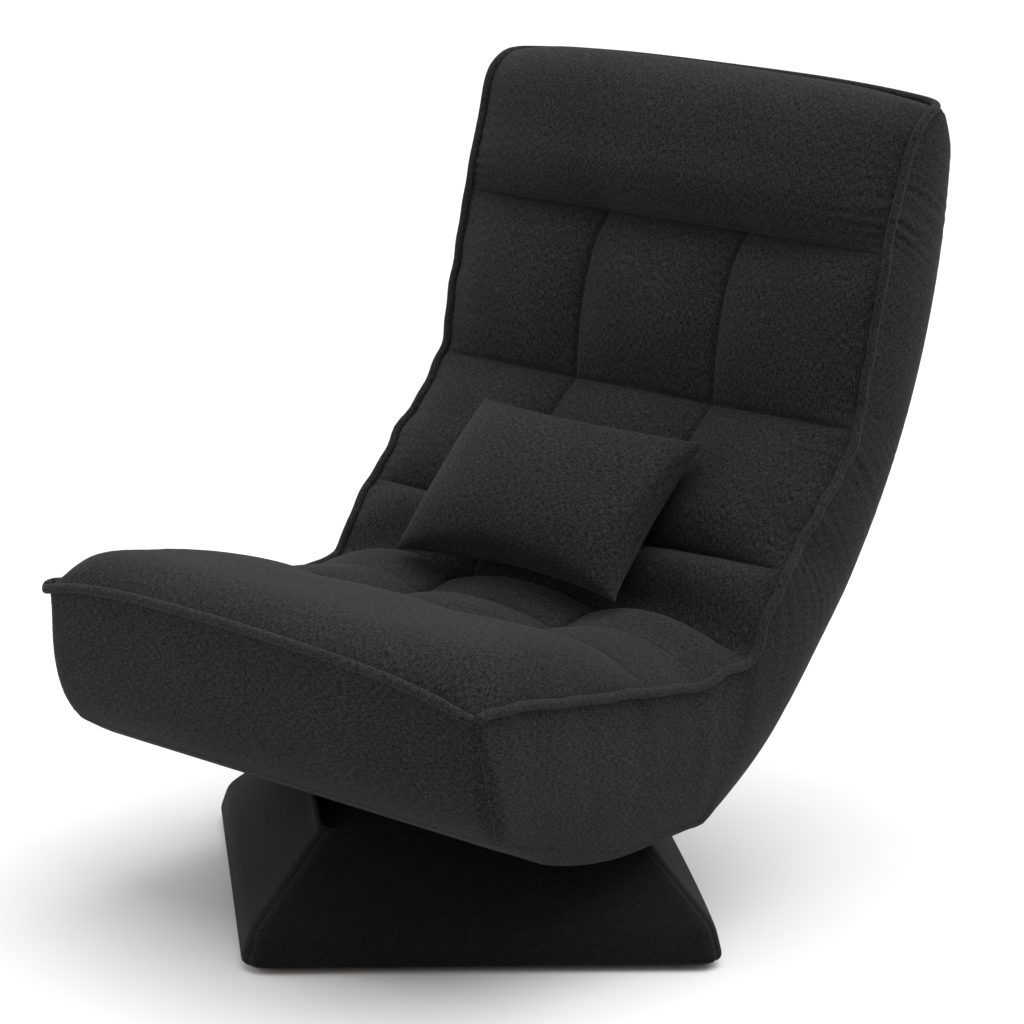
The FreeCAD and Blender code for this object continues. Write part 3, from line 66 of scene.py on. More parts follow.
# Light threads of the piping, lighter than the cover's though the cord is the same linen: a painted
# highlight on the cord.
PIPING_PAINTED_HIGHLIGHT = (0.0270, 0.0270, 0.0276)
# Dark and light threads of the base's linen, darker than the cover's though it is the same cloth: painted
# shade. The dark is also the stitch thread's own black.
BASE_DARK_PAINTED_SHADE_AND_THREAD = (0.0012, 0.0012, 0.0013)
BASE_LIGHT_PAINTED_SHADE = (0.0070, 0.0070, 0.0072)
SEWN_FAST = 0.99  # a point that is held more firmly than this stays where it is
WELD_CELLS = 2e5  # cells for each metre in which points of two panels become one


class Body(str, Enum):
    """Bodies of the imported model."""

    BASE = "base"
    SEAT = "seat"
    BACK = "back"
    PILLOW = "pillow"


class Slot(str, Enum):
    """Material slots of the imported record."""

    COVER = "cover_cloth"
    PIPING = "piping"
    DUST = "dust_cloth"
    WEBBING = "webbing"
    PAINT = "frame_paint"
    BOARD = "board"
    GLIDE = "glide_plastic"
    CAGE = "cage_plastic"
    BEARING = "bearing_steel"
    ZINC = "zinc_steel"


def step(point: Point, length: float, degrees: float) -> Point:
    """Moves a side-view point.

    Args:
        point: the (y, z) point to start from.
        length: how far to go.
        degrees: heading, from level.

    Returns:
        The (y, z) point reached.
    """
    turn = math.radians(degrees)
    return (point[0] + length * math.cos(turn), point[1] + length * math.sin(turn))


def between(a: Point, b: Point, share: float) -> Point:
    """Point at a share of the way from a to b."""
    return (a[0] + (b[0] - a[0]) * share, a[1] + (b[1] - a[1]) * share)


def bump(share: np.ndarray, power: float) -> np.ndarray:
    """Padded rise from 0 at both ends to 1 in the middle."""
    return 1 - np.abs(2 * share - 1) ** power


def crowd(steps: int, share: float) -> np.ndarray:
    """Places from 0 to 1 that stand closer together near both ends."""
    even = np.linspace(0, 1, steps + 1)
    return even - share * np.sin(2 * np.pi * even) / (2 * np.pi)


def running_total(gaps: np.ndarray | list[float]) -> np.ndarray:
    """Sum of the gaps up to each point, from 0 on."""
    return np.concatenate([[0.0], np.cumsum(gaps)])


def unit(rows: np.ndarray) -> np.ndarray:
    """The same directions with a length of one."""
    return rows / np.linalg.norm(rows, axis=-1)[..., None]


def raised(x: np.ndarray, line: np.ndarray, out: np.ndarray, height: np.ndarray) -> np.ndarray:
    """Grid of points that stand over a line in side view.

    Args:
        x: x of every point, or of every column.
        line: (y, z) of each grid line.
        out: direction in side view for each grid line.
        height: how far each point stands over its line.

    Returns:
        The points.
    """
    points = np.empty((*height.shape, 3))
    points[..., 0] = x
    points[..., 1] = line[:, :1] + out[:, :1] * height
    points[..., 2] = line[:, 1:] + out[:, 1:] * height
    return points


def round_corners(points: np.ndarray, half: float, front: np.ndarray | float, radius: float) -> None:
    """Rounds the two front corners of a piece in plan.

    Args:
        points: grid of points, moved in place.
        half: half of the piece's width.
        front: y of its front edge, for each point or for all.
        radius: radius of the corners.
    """
    beside = radius - (half - np.abs(points[..., 0]))
    ahead = radius - (points[..., 1] - front)
    near = (beside > 0) & (ahead > 0)
    scale = np.maximum(beside, ahead) / np.maximum(np.hypot(beside, ahead), 1e-9)
    x = np.sign(points[..., 0]) * (half - radius + beside * scale)
    y = front + radius - ahead * scale
    points[..., 0] = np.where(near, x, points[..., 0])
    points[..., 1] = np.where(near, y, points[..., 1])


class Path:
    """Smooth line through points, by cubic pieces."""

    def __init__(self, points: list[Point], at: np.ndarray) -> None:
        """Fits the line.

        Args:
            points: the points that it goes through.
            at: place of each of them along the line.
        """
        self.points = np.array(points, float)
        self.at = np.array(at, float)
        self.slopes = np.gradient(self.points, self.at, axis=0)

    def __call__(self, where: np.ndarray) -> np.ndarray:
        """Points at the given places along the line.

        Args:
            where: places along it.

        Returns:
            A point for each place.
        """
        where = np.asarray(where, float)
        i = np.clip(np.searchsorted(self.at, where, side="right") - 1, 0, len(self.at) - 2)
        span = self.at[i + 1] - self.at[i]
        t = ((where - self.at[i]) / span)[:, None]
        span = span[:, None]
        rise = self.points[i] * (2 * t**3 - 3 * t**2 + 1) + self.points[i + 1] * (3 * t**2 - 2 * t**3)
        return rise + span * (self.slopes[i] * (t**3 - 2 * t**2 + t) + self.slopes[i + 1] * (t**3 - t**2))


@dataclass(frozen=True)
class Bell:
    """Size that swells and dies away along the pad."""

    size: float
    at: float
    spread: float

    def __call__(self, where: np.ndarray) -> np.ndarray:
        """Size at places along the pad."""
        return self.size * np.exp(-(((where - self.at) / self.spread) ** 2))


@dataclass(frozen=True)
class SideView:
    """Side view of the pad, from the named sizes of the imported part.

    Points are (y, z). row_b, row_a, roll and front are the lengths and headings of the welt
    line from the crease to the front. corner and edge are measured along the back's rail line
    and ahead of it.
    """

    half: float = 0.270  # half of the pad's width
    pivot: Point = (0.072, 0.169)  # axis of the recline
    crease_depth: float = 0.120  # from that axis to the crease
    crease_angle: float = 71.6  # heading from the axis to the crease
    seam_z: float = 0.134  # level part of the lower side seam
    bottom_bend: Point = (-0.083, 0.134)  # where that seam starts to slope
    row_b: Point = (0.0804, 185.7)
    row_a: Point = (0.091, 173.0)
    roll: Point = (0.2735, 172.2)
    front: Point = (0.1395, -72.5)
    rail_drop: float = 0.014  # rail line behind the axis
    lean: float = 45.0  # heading of its straight part
    straight: float = 0.190  # length of that part
    radius: float = 0.640  # of the bend above it
    turn: float = 43.0  # degrees of that bend
    rear: float = 0.030  # rear side seam behind the rail line
    corner: Point = (0.757, -0.005)
    edge: Point = (0.763, -0.003)

    @property
    def crease(self) -> Point:
        """Crease between seat and back, on the welt line."""
        return step(self.pivot, self.crease_depth, self.crease_angle)

    @property
    def seam_5(self) -> Point:
        """Quilting seam between the seat's two rows."""
        return step(self.crease, *self.row_b)

    @property
    def seam_6(self) -> Point:
        """Quilting seam behind the front roll."""
        return step(self.seam_5, *self.row_a)

    @property
    def front_top(self) -> Point:
        """Front edge at the welt."""
        return step(self.seam_6, *self.roll)

    @property
    def front_low(self) -> Point:
        """Front edge at the bottom seam."""
        return step(self.front_top, *self.front)

    @property
    def split_low(self) -> Point:
        """Lower end of the cut between seat and back."""
        drop = (self.pivot[1] - self.seam_z) / math.sin(math.radians(self.crease_angle))
        return step(self.pivot, drop, self.crease_angle + 180)

    @property
    def rear_corner(self) -> Point:
        """Upper end of the rear side seam."""
        return self.back_at(*self.corner)

    @property
    def rear_edge(self) -> Point:
        """End of the welt line, at the rear of the top."""
        return self.back_at(*self.edge)

    def bottom_at(self, y: float) -> Point:
        """Bottom side seam of the seat below a given y.

        Args:
            y: where along the seat.

        Returns:
            The (y, z) point.
        """
        if y >= self.bottom_bend[0]:
            return (y, self.seam_z)
        share = (y - self.bottom_bend[0]) / (self.front_low[0] - self.bottom_bend[0])
        return (y, self.seam_z + share * (self.front_low[1] - self.seam_z))

    def back_at(self, along: float, ahead: float) -> Point:
        """Point measured along the back's rail line and in front of it.

        Args:
            along: distance from the rail line's foot.
            ahead: distance in front of it.

        Returns:
            The (y, z) point.
        """
        foot = step(self.pivot, self.rail_drop, self.lean - 90)
        sweep = self.radius * math.radians(self.turn)
        over = min(max(along - self.straight, 0.0), sweep)
        heading = self.lean + math.degrees(over / self.radius)
        if along <= self.straight:
            place = step(foot, along, heading)
        else:
            centre = step(step(foot, self.straight, self.lean), self.radius, self.lean + 90)
            place = step(centre, self.radius, heading - 90)
            place = step(place, max(along - self.straight - sweep, 0.0), heading)
        return step(place, ahead, heading + 90)


@dataclass(frozen=True)
class Station:
    """One cross section of the pad, from its lower side seam to its welt line.

    Heights are over the welt line: outer in the middle of each side panel, tuft on the
    two lengthwise seams, crown in the middle. A section without seams is one dome whose
    edges turn down with edge_power.
    """

    low: Point
    welt: Point
    outer: float = 0.0
    tuft: float = 0.0
    crown: float = 0.0
    seams: bool = True
    edge_power: float = 7.0
    dome: float = 0.0
    plump: float = 2.8

    def profile(self, x: np.ndarray) -> np.ndarray:
        """Height over the welt line at places across, from -1 to 1.

        Args:
            x: the places, 1 on the right edge.

        Returns:
            A height for each place.
        """
        across = np.abs(x)
        if not self.seams:
            return self.crown * (1 - self.dome * across**2 - (1 - self.dome) * across**self.edge_power)
        third = 1 / 3
        inside = np.clip((across + third) / (2 * third), 0, 1)
        middle = self.tuft + (self.crown - self.tuft) * bump(inside, self.plump)
        share = np.clip((across - third) / (1 - third), 0, 1)
        side = self.tuft * (1 - share) + (self.outer - self.tuft / 2) * bump(share, self.plump)
        return np.where(across < third, middle, side)


@dataclass(frozen=True)
class Row:
    """One padded row between two seams."""

    start: Station
    middle: Station
    end: Station
    steps: int
    peak: float = 0.5
    plump: float = 2.7

    def swell(self, t: np.ndarray) -> np.ndarray:
        """Share of the middle section's height along the row.

        Args:
            t: places along the row, from 0 to 1.

        Returns:
            A share for each place.
        """
        before = np.abs(1 - t / self.peak) ** self.plump
        after = np.abs((t - self.peak) / (1 - self.peak)) ** self.plump
        return 1 - np.where(t < self.peak, before, after)

    def height(self, t: np.ndarray, x: np.ndarray) -> np.ndarray:
        """Heights over the welt line on a grid along and across the row.

        Args:
            t: places along the row, from 0 to 1.
            x: places across, from -1 to 1.

        Returns:
            The grid of heights.
        """
        full = self.swell(t)[:, None]
        seams = self.start.profile(x)[None] * (1 - t)[:, None] + self.end.profile(x)[None] * t[:, None]
        return seams * (1 - full) + self.middle.profile(x)[None] * full


@dataclass
class PadPlan:
    """Rows of the pad, and the lines of its welt and of its lower seam."""

    view: SideView = field(default_factory=SideView)
    rows: list[Row] = field(default_factory=list)
    slant: float = 0.010  # lower ends of the seat's sections ahead of the upper ones
    seat_plump: float = 2.1

    def __post_init__(self) -> None:
        """Sets out the sections, sorts them into rows and runs the two lines through them."""
        view = self.view
        crest_at = between(view.front_top, view.seam_6, 0.30)
        lean = view.front_low[0] - view.front_top[0]
        crest_low = view.bottom_at(crest_at[0] + lean * 0.7 - 0.003)
        front = Station(view.front_low, view.front_top, crown=0.027, seams=False, edge_power=6.0, dome=0.45)
        crest = Station(crest_low, crest_at, crown=0.062, seams=False, edge_power=14.0, dome=0.08)
        seam_6 = self.seat_section(view.seam_6, 0.033, 0.008, 0.028)
        row_a = self.seat_section(between(view.seam_6, view.seam_5, 0.5), 0.035, 0.018, 0.038)
        seam_5 = self.seat_section(view.seam_5, 0.034, 0.018, 0.030)
        b_low = between(seam_5.low, view.split_low, 0.5)
        b_at = between(view.seam_5, view.crease, 0.5)
        row_b = Station(b_low, b_at, 0.037, 0.021, 0.038, plump=self.seat_plump)
        crease = Station(view.split_low, view.crease, 0.014, 0.008, 0.014)
        row_c = Station(view.back_at(0.0785, -0.031), view.back_at(0.157, 0.082), 0.021, 0.003, 0.022)
        seam_3 = self.back_section(0.208, 0.084, -0.003, -0.013, -0.006)
        row_d = self.back_section(0.302, 0.075, 0.029, 0.011, 0.029)
        seam_2 = self.back_section(0.400, 0.065, 0.003, -0.006, 0.002)
        row_e = self.back_section(0.512, 0.079, 0.027, 0.011, 0.028)
        seam_1 = self.back_section(0.606, 0.083, -0.006, -0.019, -0.012)
        head_at = (view.back_at(0.688, -view.rear), view.back_at(0.688, 0.067))
        head = Station(*head_at, crown=0.039, seams=False, edge_power=6.0, dome=0.25)
        shoulder = Station(view.back_at(0.730, -0.024), view.back_at(0.748, 0.046))
        brow = Station(view.back_at(0.750, -0.013), view.back_at(0.762, 0.026))
        rear = Station(view.rear_corner, view.rear_edge, crown=0.009, seams=False, edge_power=3.0)
        self.rows = [
            Row(front, crest, seam_6, 38, 0.30, 2.6),
            Row(seam_6, row_a, seam_5, 16, plump=2.0),
            Row(seam_5, row_b, crease, 15, plump=2.1),
            Row(crease, row_c, seam_3, 17),
            Row(seam_3, row_d, seam_2, 28, 0.52),
            Row(seam_2, row_e, seam_1, 30, 0.44),
            Row(seam_1, head, rear, 44, 0.34, 2.0),
        ]
        stations = [front]
        for row in self.rows[:-1]:
            stations += [row.middle, row.end]
        stations += [head, shoulder, brow, rear]
        at = running_total([math.dist(a.welt, b.welt) for a, b in zip(stations, stations[1:])])
        self.welt = Path([s.welt for s in stations], at)
        self.low = Path([s.low for s in stations], at)
        # Every second station is a seam. The last four carry the headrest over the top.
        self.seams_at = np.append(at[:-4:2], at[-1])
        self.roll_over = (at[-4], at[-2])
        self.shoulder_at = at[-3]

    def seat_section(self, welt: Point, outer: float, tuft: float, crown: float) -> Station:
        """Cross section of the seat behind its front roll."""
        low = self.view.bottom_at(welt[0] - self.slant)
        return Station(low, welt, outer, tuft, crown, plump=self.seat_plump)

    def back_section(self, along: float, ahead: float, outer: float, tuft: float, crown: float) -> Station:
        """Cross section of the back at a place along its rail line."""
        low = self.view.back_at(along, -self.view.rear)
        return Station(low, self.view.back_at(along, ahead), outer, tuft, crown)

    def rise(self, at: np.ndarray) -> np.ndarray:
        """Directions in side view in which the face stands over the welt line.

        Args:
            at: places along the welt line.

        Returns:
            A (y, z) direction for each place.
        """
        up = unit(self.welt(at) - self.low(at))
        near = 0.0005
        run = self.welt(at + near) - self.welt(at - near)
        normal = unit(np.stack([-run[:, 1], run[:, 0]], axis=1))
        start, end = self.roll_over
        share = np.clip((at - start) / (end - start), 0, 1)[:, None]
        return unit(up * (1 - share) + normal * share)


def link(name: str, data: bpy.types.ID) -> bpy.types.Object:
    """Puts a new object with the given data into the scene.

    Args:
        name: the object's name.
        data: its mesh, light or camera.

    Returns:
        The object.
    """
    obj = bpy.data.objects.new(name, data)
    bpy.context.scene.collection.objects.link(obj)
    return obj


@dataclass
class Panel:
    """One cut panel of cloth as a grid of points, with how firmly each point is held.

    calm is 1 where the cloth lies smooth over foam. ripple holds each point's height of
    gathers and their place along the welt.
    """

    points: np.ndarray
    hold: np.ndarray
    flip: bool = False
    uv_shift: Point = (0.0, 0.0)
    calm: float = 0.0
    ripple: np.ndarray | None = None

    def cloth_uv(self) -> np.ndarray:
        """Cloth coordinates in metres, along the panel's own threads.

        Returns:
            A grid of (u, v).
        """
        v = running_total(np.linalg.norm(np.diff(self.points, axis=0), axis=2).mean(axis=1))
        wide = np.linalg.norm(np.diff(self.points, axis=1), axis=2)
        u = np.concatenate([np.zeros((len(wide), 1)), np.cumsum(wide, axis=1)], axis=1)
        u -= u[:, u.shape[1] // 2][:, None]
        grid = np.stack([u, np.broadcast_to(v[:, None], u.shape)], axis=2)
        return grid + np.array(self.uv_shift)


class Sewn:
    """Panels welded along the edges that they share."""

    def __init__(self, panels: list[Panel]) -> None:
        """Welds the panels.

        Args:
            panels: cut panels, with the same points on the edges that are sewn together.
        """
        points = np.concatenate([p.points.reshape(-1, 3) for p in panels])
        hold = np.concatenate([p.hold.ravel() for p in panels])
        calm = np.concatenate([np.full(p.hold.size, p.calm) for p in panels])
        plain = [np.zeros((*p.hold.shape, 2)) if p.ripple is None else p.ripple for p in panels]
        ripple = np.concatenate([r.reshape(-1, 2) for r in plain])
        uv = np.concatenate([p.cloth_uv().reshape(-1, 2) for p in panels])
        keys = np.round(points * WELD_CELLS).astype(np.int64)
        _, first, back = np.unique(keys, axis=0, return_index=True, return_inverse=True)
        self.back = back.ravel()
        self.points = points[first]
        self.ripple = ripple[first]
        self.hold = np.zeros(len(first))
        self.calm = np.zeros(len(first))
        np.maximum.at(self.hold, self.back, hold)
        np.maximum.at(self.calm, self.back, calm)
        quads = []
        start = 0
        for panel in panels:
            n, m = panel.hold.shape
            grid = start + np.arange(n * m).reshape(n, m)
            corners = [grid[:-1, :-1], grid[1:, :-1], grid[1:, 1:], grid[:-1, 1:]]
            if panel.flip:
                corners.reverse()
            quads.append(np.stack(corners, axis=2).reshape(-1, 4))
            start += n * m
        loose = np.concatenate(quads)
        self.quads = self.back[loose]
        self.corner_uv = uv[loose.ravel()]

    def to_object(self, name: str) -> bpy.types.Object:
        """Links a mesh object with the cloth coordinates as its UV map.

        Args:
            name: the object's name.

        Returns:
            The object.
        """
        mesh = bpy.data.meshes.new(name)
        mesh.from_pydata(self.points.tolist(), [], self.quads.tolist())
        layer = mesh.uv_layers.new(name=UV_NAME)
        layer.data.foreach_set("uv", self.corner_uv.ravel().astype(np.float32))
        mesh.shade_smooth()
        return link(name, mesh)


def edge_pairs(mesh: bpy.types.Mesh) -> np.ndarray:
    """The two point numbers of every edge.

    Args:
        mesh: any mesh.

    Returns:
        A row for each edge.
    """
    pairs = np.empty(len(mesh.edges) * 2, np.int32)
    mesh.edges.foreach_get("vertices", pairs)
    return pairs.reshape(-1, 2)


def smoothed(values: np.ndarray, pairs: np.ndarray, share: np.ndarray, passes: int) -> np.ndarray:
    """Evens out values along a mesh's edges.

    Args:
        values: one row for each point.
        pairs: point numbers of the edges.
        share: for each point, how far it goes to its neighbours' mean in one pass.
        passes: how often it is done.

    Returns:
        The evened values.
    """
    count = np.bincount(pairs.ravel(), minlength=len(values))[:, None]
    for _ in range(passes):
        total = np.zeros_like(values)
        np.add.at(total, pairs[:, 0], values[pairs[:, 1]])
        np.add.at(total, pairs[:, 1], values[pairs[:, 0]])
        values = values + (total / np.maximum(count, 1) - values) * share[:, None]
    return values


def coordinates(mesh: bpy.types.Mesh) -> np.ndarray:
    """All points of a mesh as rows.

    Args:
        mesh: any mesh.

    Returns:
        A row for each point.
    """
    flat = np.empty(len(mesh.vertices) * 3, np.float32)
    mesh.vertices.foreach_get("co", flat)
    return flat.reshape(-1, 3).astype(float)


def set_coordinates(mesh: bpy.types.Mesh, points: np.ndarray) -> None:
    """Moves all points of a mesh."""
    mesh.vertices.foreach_set("co", points.astype(np.float32).ravel())
    mesh.update()


def settle(obj: bpy.types.Object) -> None:
    """Applies an object's modifiers.

    Args:
        obj: the object, whose mesh is replaced.
    """
    bpy.context.view_layer.update()
    graph = bpy.context.evaluated_depsgraph_get()
    mesh = bpy.data.meshes.new_from_object(obj.evaluated_get(graph), depsgraph=graph)
    old = obj.data
    obj.modifiers.clear()
    obj.data = mesh
    mesh.name = obj.name
    bpy.data.meshes.remove(old)


@dataclass(frozen=True)
class Stuffing:
    """How a sewn cover is blown up and how far its cloth may travel."""

    pressure: float = 4.0
    ease: float = 0.03
    stretch: float = 25.0
    bend: float = 4.0
    frames: int = 20
    cap: float = 0.014  # longest travel of a point
    foam: float = 3.0
    damping: float = 8.0
    passes: int = 14  # of the travel's evening out

    def fill(self, obj: bpy.types.Object, hold: np.ndarray, calm: np.ndarray) -> None:
        """Runs the cloth and leaves its shape in the mesh.

        Args:
            obj: sewn cover, at the origin.
            hold: for each point, 1 where it is sewn fast and less where foam backs it.
            calm: for each point, 1 where the cloth has no ease and lies smooth.
        """
        before = coordinates(obj.data)
        values = {
            "quality": 6,
            "mass": 0.25,
            "tension_stiffness": self.stretch,
            "compression_stiffness": self.stretch,
            "shear_stiffness": self.stretch / 3,
            "bending_stiffness": self.bend,
            "tension_damping": self.damping,
            "compression_damping": self.damping,
            "shear_damping": self.damping,
            "air_damping": 4,
            "vertex_group_mass": self.weigh(obj, "hold", np.round(hold, 2)),
            "pin_stiffness": self.foam,
            "shrink_min": -self.ease,
            "shrink_max": 0.0,
            "vertex_group_shrink": self.weigh(obj, "tight", calm),
            "use_pressure": True,
            "uniform_pressure_force": self.pressure,
        }
        cloth = obj.modifiers.new("stuffing", "CLOTH")
        for name, value in values.items():
            setattr(cloth.settings, name, value)
        cloth.settings.effector_weights.gravity = 0
        cloth.collision_settings.use_collision = False
        cloth.collision_settings.use_self_collision = False
        cloth.point_cache.frame_start = 1
        cloth.point_cache.frame_end = self.frames
        scene = bpy.context.scene
        for number in range(1, self.frames + 1):
            scene.frame_set(number)
        graph = bpy.context.evaluated_depsgraph_get()
        travel = coordinates(obj.evaluated_get(graph).data) - before
        obj.modifiers.remove(cloth)
        obj.vertex_groups.clear()
        scene.frame_set(1)
        length = np.linalg.norm(travel, axis=1)[:, None]
        mean, most = length.mean() * 1e3, length.max() * 1e3
        LOG.info("%s: cloth travels %.1f mm on average, %.1f at most", obj.name, mean, most)
        travel *= self.cap * np.tanh(length / self.cap) / np.maximum(length, 1e-9)
        share = np.where(hold > SEWN_FAST, 0.0, 0.15 + 0.5 * calm)
        travel = smoothed(travel, edge_pairs(obj.data), share, self.passes)
        set_coordinates(obj.data, before + travel)

    def weigh(self, obj: bpy.types.Object, name: str, weights: np.ndarray) -> str:
        """Makes a vertex group with a weight for each point and returns its name.

        Args:
            obj: the object.
            name: the group's name.
            weights: a weight for each point.

        Returns:
            The name that the group has got.
        """
        group = obj.vertex_groups.new(name=name)
        for weight in np.unique(weights):
            if weight > 0:
                group.add(np.flatnonzero(weights == weight).tolist(), float(weight), "REPLACE")
        return group.name


def gather_wave(place: np.ndarray) -> np.ndarray:
    """Uneven folds, about 13.5 mm apart, from -1 to 1 at places along the welt.

    Args:
        place: the places.

    Returns:
        A height for each place.
    """
    turn = 2 * np.pi * place
    drift = 2.2 * np.sin(turn / 0.083)
    return np.sin(turn / 0.0135 + drift) * (0.65 + 0.35 * np.sin(turn / 0.057))


def refine(obj: bpy.types.Object, hold: np.ndarray, crease: float, ripple: np.ndarray | None = None) -> None:
    """Subdivides a cover once, with its sewn lines kept sharp, and gathers it along the welt.

    Args:
        obj: cover as the cloth left it, given a finer mesh.
        hold: for each point, 1 where it is sewn fast.
        crease: sharpness of the sewn lines.
        ripple: for each point, height of the gathers and place along the welt.
    """
    mesh = obj.data
    sewn = (hold[edge_pairs(mesh)] > SEWN_FAST).all(axis=1)
    layer = mesh.attributes.new("crease_edge", "FLOAT", "EDGE")
    layer.data.foreach_set("value", (sewn * crease).astype(np.float32))
    names = ("gather_size", "gather_at")
    if ripple is not None:
        for name, values in zip(names, ripple.T):
            layer = mesh.attributes.new(name, "FLOAT", "POINT")
            layer.data.foreach_set("value", values.astype(np.float32))
    obj.modifiers.new("finer", "SUBSURF").levels = 1
    settle(obj)
    mesh = obj.data
    if ripple is not None:
        size, place = (point_values(mesh, name) for name in names)
        normals = np.empty(len(mesh.vertices) * 3, np.float32)
        mesh.vertex_normals.foreach_get("vector", normals)
        height = size * gather_wave(place)
        set_coordinates(mesh, coordinates(mesh) + normals.reshape(-1, 3) * height[:, None])
        for name in names:
            mesh.attributes.remove(mesh.attributes[name])
    mesh.shade_smooth()


def point_values(mesh: bpy.types.Mesh, name: str) -> np.ndarray:
    """One number for each point from a mesh attribute.

    Args:
        mesh: any mesh.
        name: the attribute's name.

    Returns:
        The numbers.
    """
    values = np.empty(len(mesh.vertices), np.float32)
    mesh.attributes[name].data.foreach_get("value", values)
    return values.astype(float)


@dataclass(frozen=True)
class Recline:
    """Sizes of where the soft pieces bend when the back goes down; bend only bakes a piece's placement."""

    view: SideView = field(default_factory=SideView)
    reach: float = 0.055

    def bend(self, obj: bpy.types.Object) -> None:
        """Bakes a piece's placement into its mesh.

        Args:
            obj: the piece.
        """
        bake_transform(obj)


class Board:
    """Short hand for building a node tree."""

    def __init__(self, tree: bpy.types.NodeTree) -> None:
        """Takes the tree that the nodes go to."""
        self.tree = tree

    def feed(self, node: bpy.types.Node, **inputs: object) -> None:
        """Sets or links inputs of a node.

        Args:
            node: the node.
            **inputs: value or source socket by input name, with _ for a space, or in_N for input N.
        """
        for name, value in inputs.items():
            key = int(name[3:]) if name.startswith("in_") else name.replace("_", " ")
            if isinstance(value, bpy.types.NodeSocket):
                self.tree.links.new(value, node.inputs[key])
            else:
                node.inputs[key].default_value = value

    def add(self, kind: str, settings: dict[str, object] | None = None, **inputs: object) -> bpy.types.Node:
        """Adds a node.

        Args:
            kind: Blender's name of the node type.
            settings: properties of the node.
            **inputs: inputs as feed takes them.

        Returns:
            The new node.
        """
        node = self.tree.nodes.new(kind)
        for name, value in (settings or {}).items():
            setattr(node, name, value)
        self.feed(node, **inputs)
        return node

    def math(self, operation: str, a: object, b: object = 0.0) -> bpy.types.NodeSocket:
        """Adds a math node and returns its result."""
        return self.add("ShaderNodeMath", {"operation": operation}, in_0=a, in_1=b).outputs[0]

    def noise(self, vector: object, scale: float, detail: float = 2.0) -> bpy.types.NodeSocket:
        """Adds a noise texture and returns its value."""
        return self.add("ShaderNodeTexNoise", Vector=vector, Scale=scale, Detail=detail).outputs[0]

    def stretch(self, value: object, *ends: float) -> bpy.types.NodeSocket:
        """Adds a clamped map range.

        Args:
            value: what is mapped.
            *ends: low and high end of the value, and what they are mapped to.

        Returns:
            The mapped value.
        """
        limits = {f"in_{k + 1}": end for k, end in enumerate(ends)}
        return self.add("ShaderNodeMapRange", {"clamp": True}, in_0=value, **limits).outputs[0]

    def mix(self, share: bpy.types.NodeSocket, first: Colour, second: Colour) -> bpy.types.NodeSocket:
        """Adds a mix of two colours and returns its result."""
        colours = {"in_6": (*first, 1.0), "in_7": (*second, 1.0)}
        return self.add("ShaderNodeMix", {"data_type": "RGBA"}, in_0=share, **colours).outputs[2]


class Surface(Board):
    """Nodes of a new material, round its shader."""

    def __init__(self, name: str) -> None:
        """Makes the material with the given name.

        Args:
            name: the material's name.
        """
        self.material = bpy.data.materials.new(name)
        self.material.use_nodes = True
        super().__init__(self.material.node_tree)
        self.shader = self.tree.nodes["Principled BSDF"]

    def relief(self, height: bpy.types.NodeSocket, strength: float, depth: float) -> bpy.types.NodeSocket:
        """Adds a bump node and returns its normal."""
        return self.add("ShaderNodeBump", Strength=strength, Distance=depth, Height=height).outputs[0]


def weave_group() -> bpy.types.ShaderNodeTree:
    """Shared node group of a plain weave with slubs and flecks.

    Returns:
        A group from cloth coordinates in metres to thread tone and thread height.
    """
    tree = bpy.data.node_groups.new("slub_weave", "ShaderNodeTree")
    tree.interface.new_socket("Cloth", in_out="INPUT", socket_type="NodeSocketVector")
    pitch = tree.interface.new_socket("Threads per metre", in_out="INPUT", socket_type="NodeSocketFloat")
    pitch.default_value = 1300.0
    tree.interface.new_socket("Tone", in_out="OUTPUT", socket_type="NodeSocketFloat")
    tree.interface.new_socket("Height", in_out="OUTPUT", socket_type="NodeSocketFloat")
    board = Board(tree)
    entry = board.add("NodeGroupInput")
    cloth = entry.outputs["Cloth"]
    threads = entry.outputs["Threads per metre"]
    split = board.add("ShaderNodeSeparateXYZ", Vector=cloth)
    across = board.math("MULTIPLY", split.outputs[0], threads)
    along = board.math("MULTIPLY", split.outputs[1], threads)
    warp_at = board.add("ShaderNodeCombineXYZ", X=across, Y=board.math("MULTIPLY", along, 0.20), Z=0.0)
    weft_at = board.add("ShaderNodeCombineXYZ", X=board.math("MULTIPLY", across, 0.26), Y=along, Z=9.0)
    warp = board.noise(warp_at.outputs[0], 0.66, 1.0)
    weft = board.noise(weft_at.outputs[0], 0.66, 1.0)
    fleck = board.noise(cloth, 900.0, 2.0)
    mixed = board.math("ADD", board.math("MULTIPLY", warp, 0.42), board.math("MULTIPLY", weft, 0.38))
    mixed = board.math("ADD", mixed, board.math("MULTIPLY", fleck, 0.20))
    tone = board.stretch(mixed, 0.41, 0.64, 0.0, 1.0)
    over = board.math("SINE", board.math("MULTIPLY", across, math.pi))
    under = board.math("SINE", board.math("MULTIPLY", along, math.pi))
    plain = board.math("MULTIPLY", over, under)
    height = board.math("ADD", board.math("MULTIPLY", plain, 0.35), tone)
    board.add("NodeGroupOutput", Tone=tone, Height=height)
    return tree


